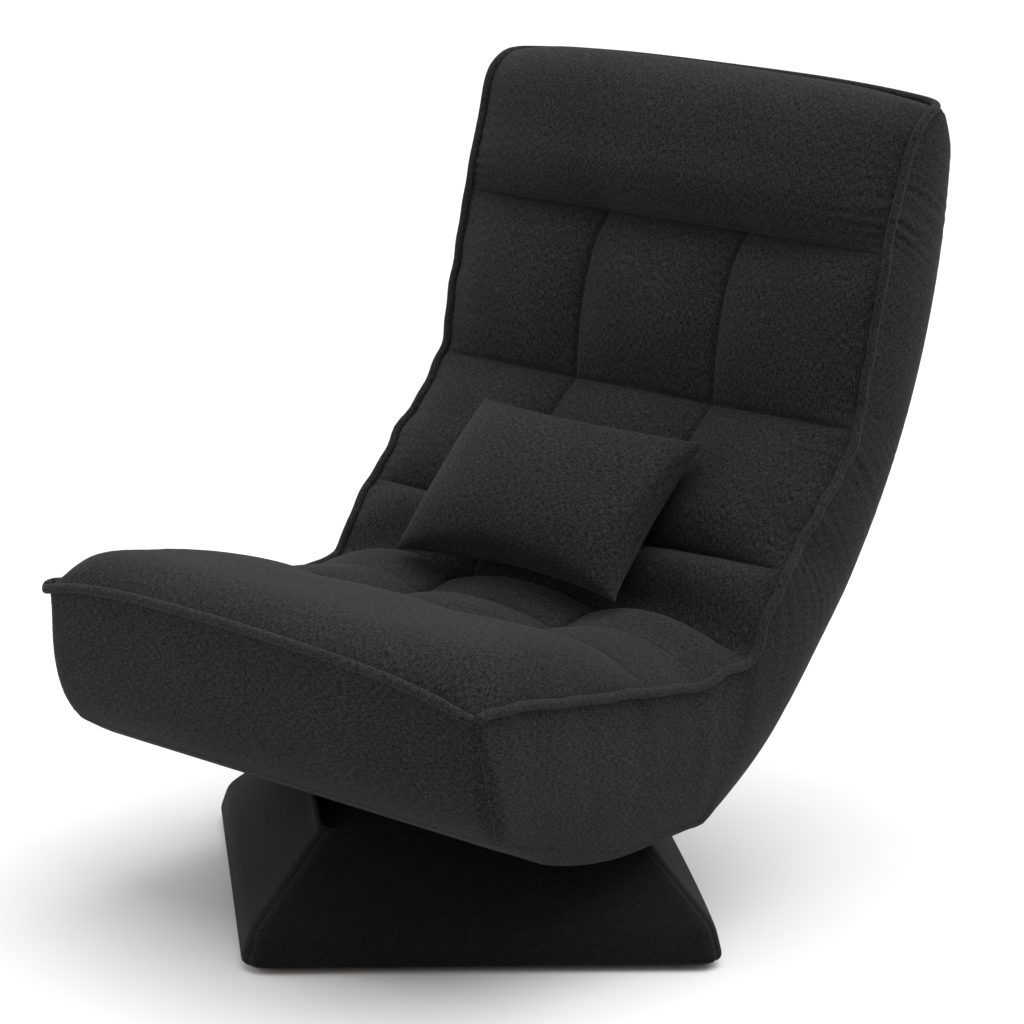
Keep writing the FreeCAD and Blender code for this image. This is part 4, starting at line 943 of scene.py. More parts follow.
@dataclass(frozen=True)
class LinenFinish:
    """Woven charcoal linen with light and dark threads."""

    name: str
    dark: Colour = (0.0022, 0.0022, 0.0023)
    light: Colour = (0.0235, 0.0235, 0.0240)
    threads: float = 1300.0
    sheen: float = 0.03
    relief: float = 0.00035

    def make(self, weave: bpy.types.ShaderNodeTree) -> bpy.types.Material:
        """Builds the material on the shared weave.

        Args:
            weave: the weave's node group.

        Returns:
            The material.
        """
        surface = Surface(self.name)
        place = surface.add("ShaderNodeUVMap", {"uv_map": UV_NAME}).outputs[0]
        inputs = {"Cloth": place, "Threads_per_metre": self.threads}
        cloth = surface.add("ShaderNodeGroup", {"node_tree": weave}, **inputs)
        tone = cloth.outputs["Tone"]
        shade = surface.stretch(surface.noise(place, 14.0, 3.0), 0.3, 0.7, 0.86, 1.14)
        surface.feed(
            surface.shader,
            Base_Color=surface.mix(surface.math("MULTIPLY", tone, shade), self.dark, self.light),
            Roughness=surface.stretch(tone, 0.0, 1.0, 0.95, 0.82),
            Normal=surface.relief(cloth.outputs["Height"], 0.5, self.relief),
            Sheen_Weight=self.sheen,
            Sheen_Roughness=0.45,
            Specular_IOR_Level=0.12,
        )
        return surface.material


@dataclass(frozen=True)
class HardFinish:
    """Metal, plastic or board, with fine grain and worn patches."""

    name: str
    colour: Colour
    worn: Colour
    metal: float = 0.0
    rough: Point = (0.35, 0.55)
    grain: float = 220.0
    run: tuple[float, float, float] = (1.0, 1.0, 1.0)

    def make(self) -> bpy.types.Material:
        """Builds the material on object coordinates.

        Returns:
            The material.
        """
        surface = Surface(self.name)
        place = surface.add("ShaderNodeTexCoord").outputs["Object"]
        drawn = surface.add("ShaderNodeMapping", Vector=place, Scale=self.run).outputs[0]
        fine = surface.noise(drawn, self.grain, 3.0)
        wear = surface.stretch(surface.noise(place, 9.0, 4.0), 0.52, 0.72, 0.0, 0.7)
        surface.feed(
            surface.shader,
            Base_Color=surface.mix(surface.math("MULTIPLY", wear, fine), self.colour, self.worn),
            Roughness=surface.stretch(fine, 0.3, 0.7, *self.rough),
            Normal=surface.relief(fine, 0.25, 0.0002),
            Metallic=self.metal,
        )
        return surface.material


THREAD = HardFinish("black_thread", BASE_DARK_PAINTED_SHADE_AND_THREAD, (0.004, 0.004, 0.004), rough=(0.6, 0.8))
HARD_FINISHES = {
    Slot.DUST: HardFinish(
        "black_spunbond", (0.012, 0.012, 0.013), (0.03, 0.03, 0.03), rough=(0.8, 0.95), grain=700
    ),
    Slot.WEBBING: HardFinish(
        "black_webbing", (0.02, 0.02, 0.022), (0.06, 0.06, 0.06), rough=(0.7, 0.9), grain=500
    ),
    Slot.PAINT: HardFinish("black_powder_coat", (0.014, 0.014, 0.015), (0.05, 0.05, 0.052), grain=900),
    Slot.BOARD: HardFinish(
        "fibre_board", (0.36, 0.25, 0.15), (0.46, 0.34, 0.22), rough=(0.7, 0.9), grain=320
    ),
    Slot.GLIDE: HardFinish("black_glide", (0.014, 0.014, 0.014), (0.04, 0.04, 0.04), rough=(0.4, 0.6)),
    Slot.CAGE: HardFinish("natural_nylon", (0.62, 0.60, 0.54), (0.72, 0.70, 0.66), rough=(0.35, 0.5)),
    Slot.BEARING: HardFinish(
        "rolled_steel", (0.55, 0.55, 0.57), (0.38, 0.36, 0.34), 1.0, (0.22, 0.42), 260, (1, 1, 12)
    ),
    Slot.ZINC: HardFinish("zinc_plate", (0.60, 0.61, 0.63), (0.45, 0.45, 0.44), 1.0, (0.28, 0.48), 180),
}


class Finishes:
    """All materials of the chair."""

    def __init__(self) -> None:
        """Makes the materials."""
        weave = weave_group()
        self.linen = LinenFinish("charcoal_linen").make(weave)
        # The base gets a darker copy of the linen: painted shade over the whole base cover.
        self.base_linen = LinenFinish("charcoal_linen_base", BASE_DARK_PAINTED_SHADE_AND_THREAD, BASE_LIGHT_PAINTED_SHADE, 1250.0).make(weave)
        # The piping gets a lighter copy of the linen: a painted highlight on the cord.
        self.piping = LinenFinish("charcoal_piping", light=PIPING_PAINTED_HIGHLIGHT, threads=1500.0).make(weave)
        self.thread = THREAD.make()
        self.by_slot = {slot: finish.make() for slot, finish in HARD_FINISHES.items()}

    def dress_frame(self) -> None:
        """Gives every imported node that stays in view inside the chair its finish."""
        slot_of = {part["node"]: part["material_slot"] for part in frame["record"]["subparts"]}
        for name, node in frame["nodes"].items():
            finish = self.by_slot.get(Slot(slot_of[name]))
            if finish is None:
                continue
            node.data.materials.clear()
            node.data.materials.append(finish)


@dataclass
class PadCover:
    """Quilted face that rolls over the top, and the side and front boxing, sewn as one cover."""

    plan: PadPlan
    columns: int = 22  # grid steps across each of the three panels
    side_steps: int = 14  # grid steps down the boxing
    corner: float = 0.009  # radius of the upright front corners
    bulge: float = 0.0115  # of the boxing
    front_bulge: float = 0.0055  # more of it in the middle of the front
    front_out: tuple[float, float, float] = (0.0, -0.954, -0.301)  # square to the front boxing
    full_wall: float = 0.12  # height from which a wall bulges in full
    tuck: float = 0.0035  # depth of the seams
    tuck_fade: float = 0.10  # share of the half width over which it dies out at the welt
    light_tuck: float = 0.45  # share of it on the seat's outer panels
    foam: Point = (0.45, 0.5)  # hold of the face and of the boxing
    waves: tuple[Point, ...] = ((0.0012, 0.19), (0.0011, 0.083), (0.0006, 0.047))  # (size, length)
    restless: Bell = Bell(0.7, 0.62, 0.20)
    folds: tuple[Bell, ...] = (Bell(0.0020, 0.62, 0.15), Bell(0.0040, 0.94, 0.045), Bell(0.0007, 0.12, 0.07))
    least_fold: float = 0.0002
    fold_start: float = 0.005  # from the welt to half of a fold's height
    wave_fade: Point = (0.04, 0.12)  # lengths over which the waves die out at the front and the top
    front_lean: Bell = Bell(0.0075, 0.0, 0.065)  # how far the pad hangs on its right
    top_lean: Point = (0.0055, 0.045)  # the same at the shoulder, (size, spread)
    corner_stand: tuple[float, float, float] = (0.011, 0.012, 0.10)  # size, lengths of rise and fall
    top_draw: Point = (0.014, 0.030)  # share by which the top narrows, and over what length
    stuffing: Stuffing = field(default_factory=Stuffing)
    obj: bpy.types.Object | None = None
    cut: list[Panel] = field(default_factory=list)

    def __post_init__(self) -> None:
        """Spreads the grid over the face and finds the seams in it."""
        self.random = np.random.default_rng(SEED)
        third = crowd(self.columns, 0.55)
        edges = [1, 1 / 3, -1 / 3, -1]
        runs = [a + (b - a) * third for a, b in zip(edges, edges[1:])]
        self.x = np.concatenate([runs[0], runs[1][1:], runs[2][1:]])
        self.at, self.seam_rows = self.spread_rows()
        self.seam_columns = [self.columns, 2 * self.columns]
        self.quilted = slice(self.seam_rows[1], self.seam_rows[-2] + 1)

    def spread_rows(self) -> tuple[np.ndarray, list[int]]:
        """Places of the grid lines along the pad, and which of them are seams.

        Returns:
            The places, and the numbers of the seams among them.
        """
        places = [np.zeros(1)]
        seams = [0]
        for row, start, end in zip(self.plan.rows, self.plan.seams_at, self.plan.seams_at[1:]):
            t = np.linspace(0, 1, 201)
            crown = row.height(t, np.zeros(1))[:, 0]
            length = running_total(np.hypot(np.diff(t) * (end - start), np.diff(crown)))
            even = np.interp(crowd(row.steps, 0.4) * length[-1], length, t)
            places.append(start + (end - start) * even[1:])
            seams.append(seams[-1] + row.steps)
        return np.concatenate(places), seams

    def edge_wave(self, side: int) -> np.ndarray:
        """Small wander of the sewn edge along one side, (x, height) by grid line.

        Args:
            side: 1 on the right, -1 on the left.

        Returns:
            The wander of each grid line.
        """
        wander = np.zeros((len(self.at), 2))
        for size, length in self.waves:
            phase = self.random.uniform(0, 2 * np.pi, 2)
            turn = 2 * np.pi * self.at / length
            wander += size * np.stack([np.sin(turn + phase[0]), np.sin(turn * 1.07 + phase[1])], axis=1)
        wander *= (0.5 + self.restless(self.at))[:, None]
        front, top = self.wave_fade
        fade = np.clip(np.minimum(self.at / front, (self.at[-1] - self.at) / top), 0, 1)
        return wander * fade[:, None] * np.array([side, 1.0])

    def gathers(self, inset: np.ndarray, slant: float, reach: float) -> np.ndarray:
        """Height and place of the gathers on a panel beside the welt.

        Args:
            inset: each point's distance from the welt.
            slant: how far the folds lean along the welt.
            reach: distance at which they die out.

        Returns:
            A grid of (height, place along the welt).
        """
        size = sum(bell(self.at) for bell in self.folds) + self.least_fold
        size = size[:, None] * inset / (inset + self.fold_start) * np.exp(-inset / reach)
        return np.stack([size, self.at[:, None] + slant * inset], axis=2)

    def tucks(self) -> np.ndarray:
        """Depth by which the seams draw the cloth in, on the face's grid.

        Returns:
            The grid of depths.
        """
        draw = np.zeros((len(self.at), len(self.x)))
        fade = np.clip((1 - np.abs(self.x)) / self.tuck_fade, 0, 1)
        light = np.where(np.abs(self.x) > 0.4, self.light_tuck, 1.0)
        for i in self.seam_rows[1:-1]:
            draw[i] = self.tuck * fade * (light if i in self.seam_rows[1:3] else 1.0)
        draw[self.quilted, self.seam_columns] = self.tuck
        return draw

    def slump(self) -> np.ndarray:
        """How the soft pad hangs a little lower on its right, and stands up behind the front corners.

        Returns:
            What is added to the height, on the face's grid.
        """
        at = self.at[:, None]
        size, spread = self.top_lean
        lean = self.front_lean(at) + Bell(size, self.plan.shoulder_at, spread)(at)
        size, rise, fall = self.corner_stand
        stand = size * (1 - np.exp(-at / rise)) * np.exp(-at / fall)
        return stand * np.abs(self.x)[None] ** 8 - lean * self.x[None]

    def face(self) -> np.ndarray:
        """Points of the quilted face, before the cloth is run.

        Returns:
            The grid of points.
        """
        welt = self.plan.welt(self.at)
        rise = self.plan.rise(self.at)
        height = np.zeros((len(self.at), len(self.x)))
        for row, first, last in zip(self.plan.rows, self.seam_rows, self.seam_rows[1:]):
            t = (self.at[first : last + 1] - self.at[first]) / (self.at[last] - self.at[first])
            height[first : last + 1] = row.height(t, self.x)
        right = self.edge_wave(1)
        left = self.edge_wave(-1)
        near_right = np.clip(self.x, 0, 1)[None] ** 6
        near_left = np.clip(-self.x, 0, 1)[None] ** 6
        height += right[:, 1:] * near_right + left[:, 1:] * near_left - self.tucks() + self.slump()
        x = self.plan.view.half * self.x[None] + right[:, :1] * near_right + left[:, :1] * near_left
        share, length = self.top_draw
        x *= 1 - share * np.clip(1 - (self.at[-1] - self.at) / length, 0, 1)[:, None] ** 2
        return raised(x, welt, rise, height)

    def wall(self, top: np.ndarray, bottom: np.ndarray) -> tuple[np.ndarray, np.ndarray]:
        """Flat wall between two sewn edges, and its share of bulge at each point.

        Args:
            top: points of the upper edge.
            bottom: points of the lower edge.

        Returns:
            The grid of points and the grid of shares.
        """
        share = np.linspace(0, 1, self.side_steps + 1)
        flat = top[:, None] * (1 - share)[None, :, None] + bottom[:, None] * share[None, :, None]
        drop = np.linalg.norm(top - bottom, axis=1)
        full = np.minimum(1, drop / self.full_wall)[:, None] * bump(share**1.5, 2.2)[None]
        return flat, full

    def panels(self) -> list[Panel]:
        """Cuts the face, the two side walls and the front wall of the cover.

        Returns:
            The four panels.
        """
        view = self.plan.view
        half = view.half
        face = self.face()
        low = self.plan.low(self.at)
        hold = np.full(face.shape[:2], self.foam[0])
        hold[:, [0, -1]] = 1
        hold[self.seam_rows] = 1
        hold[self.quilted, self.seam_columns] = 1
        edge = np.broadcast_to(half * (1 - np.abs(self.x))[None], hold.shape)
        result = [Panel(face, hold, ripple=self.gathers(edge, 0.0, 0.028))]
        ahead = np.array(self.front_out)
        near = Bell(1.0, 0.0, 0.06)(self.at)[:, None]
        for side, column in ((1, 0), (-1, -1)):
            bottom = np.column_stack([np.full(len(low), side * half), low])
            flat, full = self.wall(face[:, column], bottom)
            beside = np.array([side, 0.0, 0.0])
            points = flat + self.bulge * (full[..., None] * beside + (full * near)[..., None] * ahead)
            folds = self.gathers(np.linalg.norm(flat - flat[:, :1], axis=2), 0.45, 0.045)
            result.append(Panel(points, self.wall_hold(points), side > 0, (0.31 * side, 0.17), 1.0, folds))
        bottom = np.column_stack([half * self.x, np.tile(low[0], (len(self.x), 1))])
        flat, full = self.wall(face[0], bottom)
        depth = (self.bulge + self.front_bulge * (1 - self.x**4))[:, None] * full
        spread = self.bulge * (np.sign(self.x) * np.abs(self.x) ** 8)[:, None] * full
        points = flat + depth[..., None] * ahead + spread[..., None] * np.array([1.0, 0.0, 0.0])
        result.append(Panel(points, self.wall_hold(points), False, (0.11, 0.43), 1.0))
        result[1].points[0] = points[0]
        result[2].points[0] = points[-1]
        lean = (view.front_low[0] - view.front_top[0]) / (view.front_low[1] - view.front_top[1])
        for panel in result:
            front = view.front_top[0] + lean * (panel.points[..., 2] - view.front_top[1])
            round_corners(panel.points, half, front, self.corner)
        return result

    def wall_hold(self, wall: np.ndarray) -> np.ndarray:
        """Sewn all round, foam inside.

        Args:
            wall: the wall's points.

        Returns:
            How firmly each point is held.
        """
        hold = np.full(wall.shape[:2], self.foam[1])
        hold[[0, -1]] = 1
        hold[:, [0, -1]] = 1
        return hold

    def seam_lines(self) -> list[np.ndarray]:
        """Lines of the quilting seams and of the two corner seams of the front.

        Returns:
            The points of each line.
        """
        face, front = self.cut[0].points, self.cut[3].points
        lines = [face[i, 2:-2] for i in self.seam_rows[1:-1]]
        lines += [face[self.quilted, column] for column in self.seam_columns]
        lines += [front[0, 1:-1], front[-1, 1:-1]]
        return lines

    def build(self) -> bpy.types.Object:
        """Sews, stuffs and refines the cover.

        Returns:
            The cover's object.
        """
        self.cut = self.panels()
        sewn = Sewn(self.cut)
        self.obj = sewn.to_object("pad_cover")
        self.stuffing.fill(self.obj, sewn.hold, sewn.calm)
        refine(self.obj, sewn.hold, 0.7, sewn.ripple)
        return self.obj

    def dress(self, finishes: Finishes, recline: Recline) -> None:
        """Finishes the cover and bakes its placement into its mesh.

        Args:
            finishes: the chair's materials.
            recline: where the soft pieces bend.
        """
        self.obj.data.materials.append(finishes.linen)
        recline.bend(self.obj)
        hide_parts("seat_cushion", "back_cushion")


@dataclass
class UnderCloth:
    """Cloth below the seat and behind the back."""

    plan: PadPlan
    cover: PadCover
    opening: float = 0.102  # half width of the square round the swivel
    clear: Point = (0.215, 0.128)  # least height within this distance of the swivel axis
    hang: tuple[Point, ...] = (  # (place from the front, depth)
        (0, 0.005),
        (0.05, 0.013),
        (0.12, 0.022),
        (0.20, 0.0185),
        (0.34, 0.0185),
        (0.38, 0.004),
        (0.47, 0.005),
        (0.54, 0.013),
        (0.62, 0.012),
    )
    hang_end: tuple[Point, ...] = ((0.1, 0.005), (0.0, 0.002))  # (place before the rear end, depth)
    edge: float = 0.030  # width over which the side edges round up to the seams
    ends: Point = (0.030, 0.020)  # the same at the front and at the rear end
    inside: Point = (0.999, 0.0006)  # share of the pad's width, and depth above the seams
    seat_below: float = 0.2  # the seat's part of the cloth lies below this height
    joined: float = 0.040  # length over which the cloth goes to the edge of the face
    hem: Point = (0.012, 0.010)  # cloth that the hems add to the flat sheet
    obj: bpy.types.Object | None = None
    flat: Point = (0.0, 0.0)

    def build(self) -> bpy.types.Object:
        """Lays the panel from the front seam to the rear welt.

        Returns:
            The panel's object.
        """
        half = self.plan.view.half
        line = self.lower_line()
        inner = self.opening / half
        outer = 1 - (1 - inner) * (1 - np.cos(np.linspace(0, np.pi / 2, 17)))
        x = np.concatenate([outer, np.linspace(inner, -inner, 11)[1:-1], -outer[::-1]])
        run = np.gradient(line, axis=0)
        out = unit(np.stack([run[:, 1], -run[:, 0]], axis=1))
        along = running_total(np.linalg.norm(np.diff(line, axis=0), axis=1))
        rim = np.clip((np.abs(x) * half - (half - self.edge)) / self.edge, 0, 1)
        shape = np.sqrt(np.clip(1 - rim**2, 0, 1))
        drop = self.depth(along)[:, None] * shape[None] - self.inside[1]
        points = raised(half * x[None] * self.inside[0], line, out, drop)
        round_corners(points, half, self.plan.view.front_low[0], self.cover.corner)
        reach, least = self.clear
        away = np.hypot(points[..., 0], points[..., 1])
        points[..., 2] = np.maximum(points[..., 2], least - np.clip(away - reach, 0, None))
        edge = self.cover.cut[0].points[-1, ::-1]
        joined = np.stack([np.interp(points[-1, :, 0], edge[:, 0], edge[:, k]) for k in range(3)], axis=1)
        near = np.clip(1 - (along[-1] - along) / self.joined, 0, 1)[:, None, None] ** 2
        points += near * (joined - points[-1])[None]
        sewn = Sewn([Panel(points, np.zeros(points.shape[:2]), True, (0.7, 0.2))])
        self.cut_opening(sewn)
        self.obj = sewn.to_object("under_cloth")
        self.flat = (2 * half + self.hem[0], float(along[-1]) + self.hem[1])
        return self.obj

    def lower_line(self) -> np.ndarray:
        """Grid lines along the lower seam, two of them moved to the edges of the opening.

        Returns:
            The (y, z) of each grid line.
        """
        start, end = self.plan.seams_at[0], self.plan.seams_at[-1]
        line = self.plan.low(start + (end - start) * crowd(170, 0.6))
        seat = line[:100]
        for y in (-self.opening, self.opening):
            near = np.argmin(np.abs(seat[:, 0] - y) + (seat[:, 1] > self.seat_below))
            line[near, 0] = y
        return line

    def depth(self, along: np.ndarray) -> np.ndarray:
        """How deep the cloth hangs at places along it, drawn up to the seams at both ends.

        Args:
            along: the places, up to the rear end.

        Returns:
            A depth for each place.
        """
        length = along[-1]
        stops = [*self.hang, *((length - before, deep) for before, deep in self.hang_end)]
        depth = np.interp(along, *zip(*stops))
        front, rear = self.ends
        for edge in (along / front, (length - along) / rear):
            depth *= np.sqrt(1 - (1 - np.clip(edge, 0, 1)) ** 2)
        return depth

    def cut_opening(self, sewn: Sewn) -> None:
        """Takes the square round the swivel out of the panel.

        Args:
            sewn: the panel, changed in place.
        """
        middle = sewn.points[sewn.quads].mean(axis=1)
        inside = (np.abs(middle[:, :2]) < self.opening).all(axis=1)
        kept = ~(inside & (middle[:, 2] < self.seat_below))
        sewn.corner_uv = sewn.corner_uv.reshape(-1, 4, 2)[kept].reshape(-1, 2)
        sewn.quads = sewn.quads[kept]

    def dress(self, finishes: Finishes, recline: Recline) -> None:
        """Finishes the panel and bakes its placement into its mesh.

        Args:
            finishes: the chair's materials.
            recline: where the soft pieces bend.
        """
        self.obj.data.materials.append(finishes.linen)
        recline.bend(self.obj)
        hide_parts("seat_bottom_panel", "back_rear_panel")


@dataclass
class Welt:
    """Covered cord sewn into the edges of the pad's face."""

    cover: PadCover
    radius: float = 0.0050
    sides: int = 12  # points round the cord
    stand: float = 0.70  # share of the radius that the cord's middle stands off the seam
    tilt: float = 0.35  # how far that direction leans up on the sides
    turn_points: int = 9  # ring points over which a corner is rounded
    rear_out: tuple[float, float, float] = (0.0, 0.70, 0.71)
    front_out: tuple[float, float, float] = (0.0, -0.93, 0.36)
    obj: bpy.types.Object | None = None

    def build(self) -> bpy.types.Object:
        """Runs the cord up one side, along the rear of the top, down the other and along the front.

        Returns:
            The cord's object.
        """
        face = self.cover.cut[0].points
        rows, columns = face.shape[:2]
        ring = np.concatenate([face[:, 0], face[-1, 1:], face[-2::-1, -1], face[0, -2:0:-1]])
        side = np.array([1.0, 0.0, 0.0])
        rise = self.tilt * np.column_stack([np.zeros(rows), self.cover.plan.rise(self.cover.at)])
        out = np.concatenate(
            [
                side + rise,
                np.tile(self.rear_out, (columns - 1, 1)),
                (-side + rise)[-2::-1],
                np.tile(self.front_out, (columns - 2, 1)),
            ]
        )
        out = unit(self.soften(out, 5))
        line = ring + out * self.radius * self.stand
        line = self.turn_corners(line, (rows - 1, rows + columns - 2))
        self.obj = Sewn([self.cord(line, out)]).to_object("pad_welt")
        return self.obj

    def cord(self, line: np.ndarray, out: np.ndarray) -> Panel:
        """Cloth round the cord.

        Args:
            line: ring of points along the cord's middle.
            out: for each point, a direction that stays across the line.

        Returns:
            The panel, with its ends on the same points.
        """
        run = unit(np.roll(line, -1, axis=0) - np.roll(line, 1, axis=0))
        first = unit(out - run * (out * run).sum(axis=1)[:, None])
        second = np.cross(run, first)
        turn = np.linspace(0, 2 * np.pi, self.sides + 1)[None, :, None]
        ring = np.cos(turn) * first[:, None] + np.sin(turn) * second[:, None]
        points = line[:, None] + self.radius * ring
        points = np.concatenate([points, points[:1]])
        return Panel(points, np.zeros(points.shape[:2]), True)

    def soften(self, rows: np.ndarray, passes: int) -> np.ndarray:
        """Evens out a ring of rows.

        Args:
            rows: the ring.
            passes: how often it is done.

        Returns:
            The even ring.
        """
        for _ in range(passes):
            rows = (np.roll(rows, 1, axis=0) + 2 * rows + np.roll(rows, -1, axis=0)) / 4
        return rows

    def turn_corners(self, line: np.ndarray, corners: tuple[int, ...]) -> np.ndarray:
        """Rounds the ring where it turns into the rear edge.

        Args:
            line: points of the ring.
            corners: numbers of the points at which it turns.

        Returns:
            The rounded ring.
        """
        smooth = self.soften(line, 30)
        index = np.arange(len(line))
        share = np.zeros(len(line))
        for corner in corners:
            share = np.maximum(share, np.clip(1.6 - np.abs(index - corner) / self.turn_points, 0, 1))
        return line * (1 - share[:, None]) + smooth * share[:, None]

    def dress(self, finishes: Finishes, recline: Recline) -> None:
        """Finishes the cord and bakes its placement into its mesh.

        Args:
            finishes: the chair's materials.
            recline: where the soft pieces bend.
        """
        # lighter copy of the linen: a painted highlight on the cord
        self.obj.data.materials.append(finishes.piping)
        recline.bend(self.obj)
        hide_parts("seat_welt", "back_welt", "back_rear_welt")


@dataclass
class BaseCover:
    """Padded cloth over the turned pyramid of the base, with its steep foot."""

    width: float = 0.481
    foot: float = 0.041  # height of the steep foot
    draw: float = 0.0100  # how far each side of the foot draws in
    knee: float = 0.0016  # how softly foot and slope meet
    peak: float = 0.289  # height at which the four slopes would meet
    turn: float = 45.5  # degrees
    top: float = 0.1200  # of the rim round the race
    inside: float = 0.1130  # level of the cloth inside the rim
    hem: float = 0.006
    hem_round: float = 0.009
    tucked: tuple[Point, ...] = ((0.022, 0.6), (0.012, 0.8))  # (inset, share of the corner) below the hem
    rim_round: float = 0.006
    rim: Point = (0.0085, 0.0115)  # insets of the rim's two inner edges
    corner: float = 0.021
    opening: float = 0.0935
    opening_corner: float = 0.004
    puff: float = 0.0040
    seam: float = 0.0022  # depth of the corner seams
    obj: bpy.types.Object | None = None
    corner_lines: list[np.ndarray] = field(default_factory=list)

    def half_at(self, z: float) -> float:
        """Half width at a height, with the bend between foot and slope rounded.

        Args:
            z: the height.

        Returns:
            The half width.
        """
        steep = self.width / 2 - self.draw * z / self.foot
        slope = (self.width / 2 - self.draw) * (self.peak - z) / (self.peak - self.foot)
        return (steep + slope) / 2 - math.hypot((steep - slope) / 2, self.knee)

    def ring(self, half: float, z: float, radius: float, swell: float = 0.0) -> np.ndarray:
        """Rounded square at a height, its sides swollen a little, from a corner seam round.

        Args:
            half: half width of the square.
            z: its height.
            radius: radius of its corners.
            swell: how far its sides swell.

        Returns:
            The points, the last on the first.
        """
        points = []
        arc = np.radians(np.linspace(0, 45, 6))
        inner = half - radius
        share = np.linspace(0, 1, 25)[1:-1]
        for quarter in range(4):
            flat = np.stack([half + swell * bump(share, 2.5), (2 * share - 1) * inner], axis=1)
            last = np.stack([inner + radius * np.cos(arc), inner + radius * np.sin(arc)], axis=1)
            first = last[::-1] * np.array([1, -1])
            points.append(np.concatenate([first, flat, last[:-1]]) @ self.turned(90 * quarter))
        flat = np.concatenate(points)
        flat = np.concatenate([flat, flat[:1]]) @ self.turned(self.turn)
        return np.column_stack([flat, np.full(len(flat), z)])

    def turned(self, degrees: float) -> np.ndarray:
        """Matrix that turns rows of points."""
        angle = math.radians(degrees)
        return np.array([[math.cos(angle), math.sin(angle)], [-math.sin(angle), math.cos(angle)]])

    def build(self) -> bpy.types.Object:
        """Lofts the cover from its hem, round the foot and the slopes, to the race.

        Returns:
            The cover's object.
        """
        hem = self.half_at(self.hem)
        rings = [self.ring(hem - inset, self.hem, self.corner * share) for inset, share in self.tucked]
        for share in np.linspace(0, 1, 6):
            angle = math.pi / 2 * share
            z = self.hem + self.hem_round * (1 - math.cos(angle))
            rings.append(self.ring(self.half_at(z) - self.hem_round * (1 - math.sin(angle)), z, self.corner))
        rise = self.top - self.hem - self.hem_round - self.rim_round
        for share in np.linspace(0, 1, 26)[1:]:
            z = self.hem + self.hem_round + share * rise
            swell = self.puff * math.sin(math.pi * share) ** 0.6
            rings.append(self.ring(self.half_at(z), z, self.corner, swell))
        last = self.half_at(self.top - self.rim_round)
        for share in (0.4, 0.75, 1.0):
            angle = math.pi / 2 * share
            z = self.top - self.rim_round + self.rim_round * math.sin(angle)
            rings.append(self.ring(last - self.rim_round * (1 - math.cos(angle)), z, self.corner))
        flat, inner = self.rim
        rings.append(self.ring(last - flat, self.top, self.corner))
        for share in (0.0, 0.3, 0.7, 1.0):
            half = last - inner + (self.opening - last + inner) * share
            corner = self.corner * (1 - share) + self.opening_corner * share
            rings.append(self.ring(half, self.inside, corner))
        points = np.array(rings)
        self.seams(points)
        panel = Panel(points, np.zeros(points.shape[:2]), True, (0.4, 0.9))
        self.obj = Sewn([panel]).to_object("base_cover_cloth")
        self.obj.modifiers.new("finer", "SUBSURF").levels = 1
        settle(self.obj)
        self.obj.data.shade_smooth()
        return self.obj

    def seams(self, points: np.ndarray) -> None:
        """Draws the four corner seams in, where two panels of cloth meet.

        Args:
            points: the cover's grid, changed in place.
        """
        per_side = (points.shape[1] - 1) // 4
        inward = unit(points[..., :2])
        for column in range(0, 4 * per_side, per_side):
            points[:, column, :2] -= inward[:, column] * self.seam
            self.corner_lines.append(points[4:-8, column] + np.array([0, 0, 0.0004]))
        points[:, -1] = points[:, 0]

    def dress(self, finishes: Finishes) -> None:
        """Finishes the cover in the darker copy of the linen, which paints shade on it, and ties it to the
        base.

        Args:
            finishes: the chair's materials.
        """
        # darker copy of the linen: painted shade
        self.obj.data.materials.append(finishes.base_linen)
        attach(self.obj, Body.BASE.value)
        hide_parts("base_cover")


def stitch_tree() -> bpy.types.GeometryNodeTree:
    """Geometry nodes that lay short thread stitches along seam lines.

    Returns:
        A tree from edges to stitches, with named inputs.
    """
    tree = bpy.data.node_groups.new("seam_stitches", "GeometryNodeTree")
    new_socket = tree.interface.new_socket
    new_socket("Seam lines", in_out="INPUT", socket_type="NodeSocketGeometry")
    sizes = {"Spacing": 0.0042, "Length": 0.0030, "Thickness": 0.00035, "Wander": 0.12}
    for name, value in sizes.items():
        new_socket(name, in_out="INPUT", socket_type="NodeSocketFloat").default_value = value
    new_socket("Seed", in_out="INPUT", socket_type="NodeSocketInt").default_value = SEED
    new_socket("Thread", in_out="INPUT", socket_type="NodeSocketMaterial")
    new_socket("Stitches", in_out="OUTPUT", socket_type="NodeSocketGeometry")
    board = Board(tree)
    entry = board.add("NodeGroupInput").outputs
    curve = board.add("GeometryNodeMeshToCurve", Mesh=entry["Seam lines"]).outputs[0]
    even = board.add("GeometryNodeResampleCurve", {"mode": "LENGTH"}, Curve=curve, Length=entry["Spacing"])
    size = {"Radius": entry["Thickness"], "Depth": entry["Length"]}
    thread = board.add("GeometryNodeMeshCylinder", Vertices=6, **size)
    run = board.add("GeometryNodeInputTangent").outputs[0]
    sway = board.add("FunctionNodeRandomValue", {"data_type": "FLOAT_VECTOR"}, Seed=entry["Seed"])
    sway.inputs["Min"].default_value = (-1, -1, -1)
    scaled = {"in_0": sway.outputs[0], "Scale": entry["Wander"]}
    swung = board.add("ShaderNodeVectorMath", {"operation": "SCALE"}, **scaled).outputs[0]
    aim = board.add("ShaderNodeVectorMath", {"operation": "ADD"}, in_0=run, in_1=swung)
    turn = board.add("FunctionNodeAlignRotationToVector", {"axis": "Z"}, Vector=aim.outputs[0])
    laid = board.add(
        "GeometryNodeInstanceOnPoints",
        Points=even.outputs[0],
        Instance=thread.outputs[0],
        Rotation=turn.outputs[0],
    )
    solid = board.add("GeometryNodeRealizeInstances", Geometry=laid.outputs[0])
    dyed = board.add("GeometryNodeSetMaterial", Geometry=solid.outputs[0], Material=entry["Thread"])
    board.add("NodeGroupOutput", Stitches=dyed.outputs[0])
    return tree


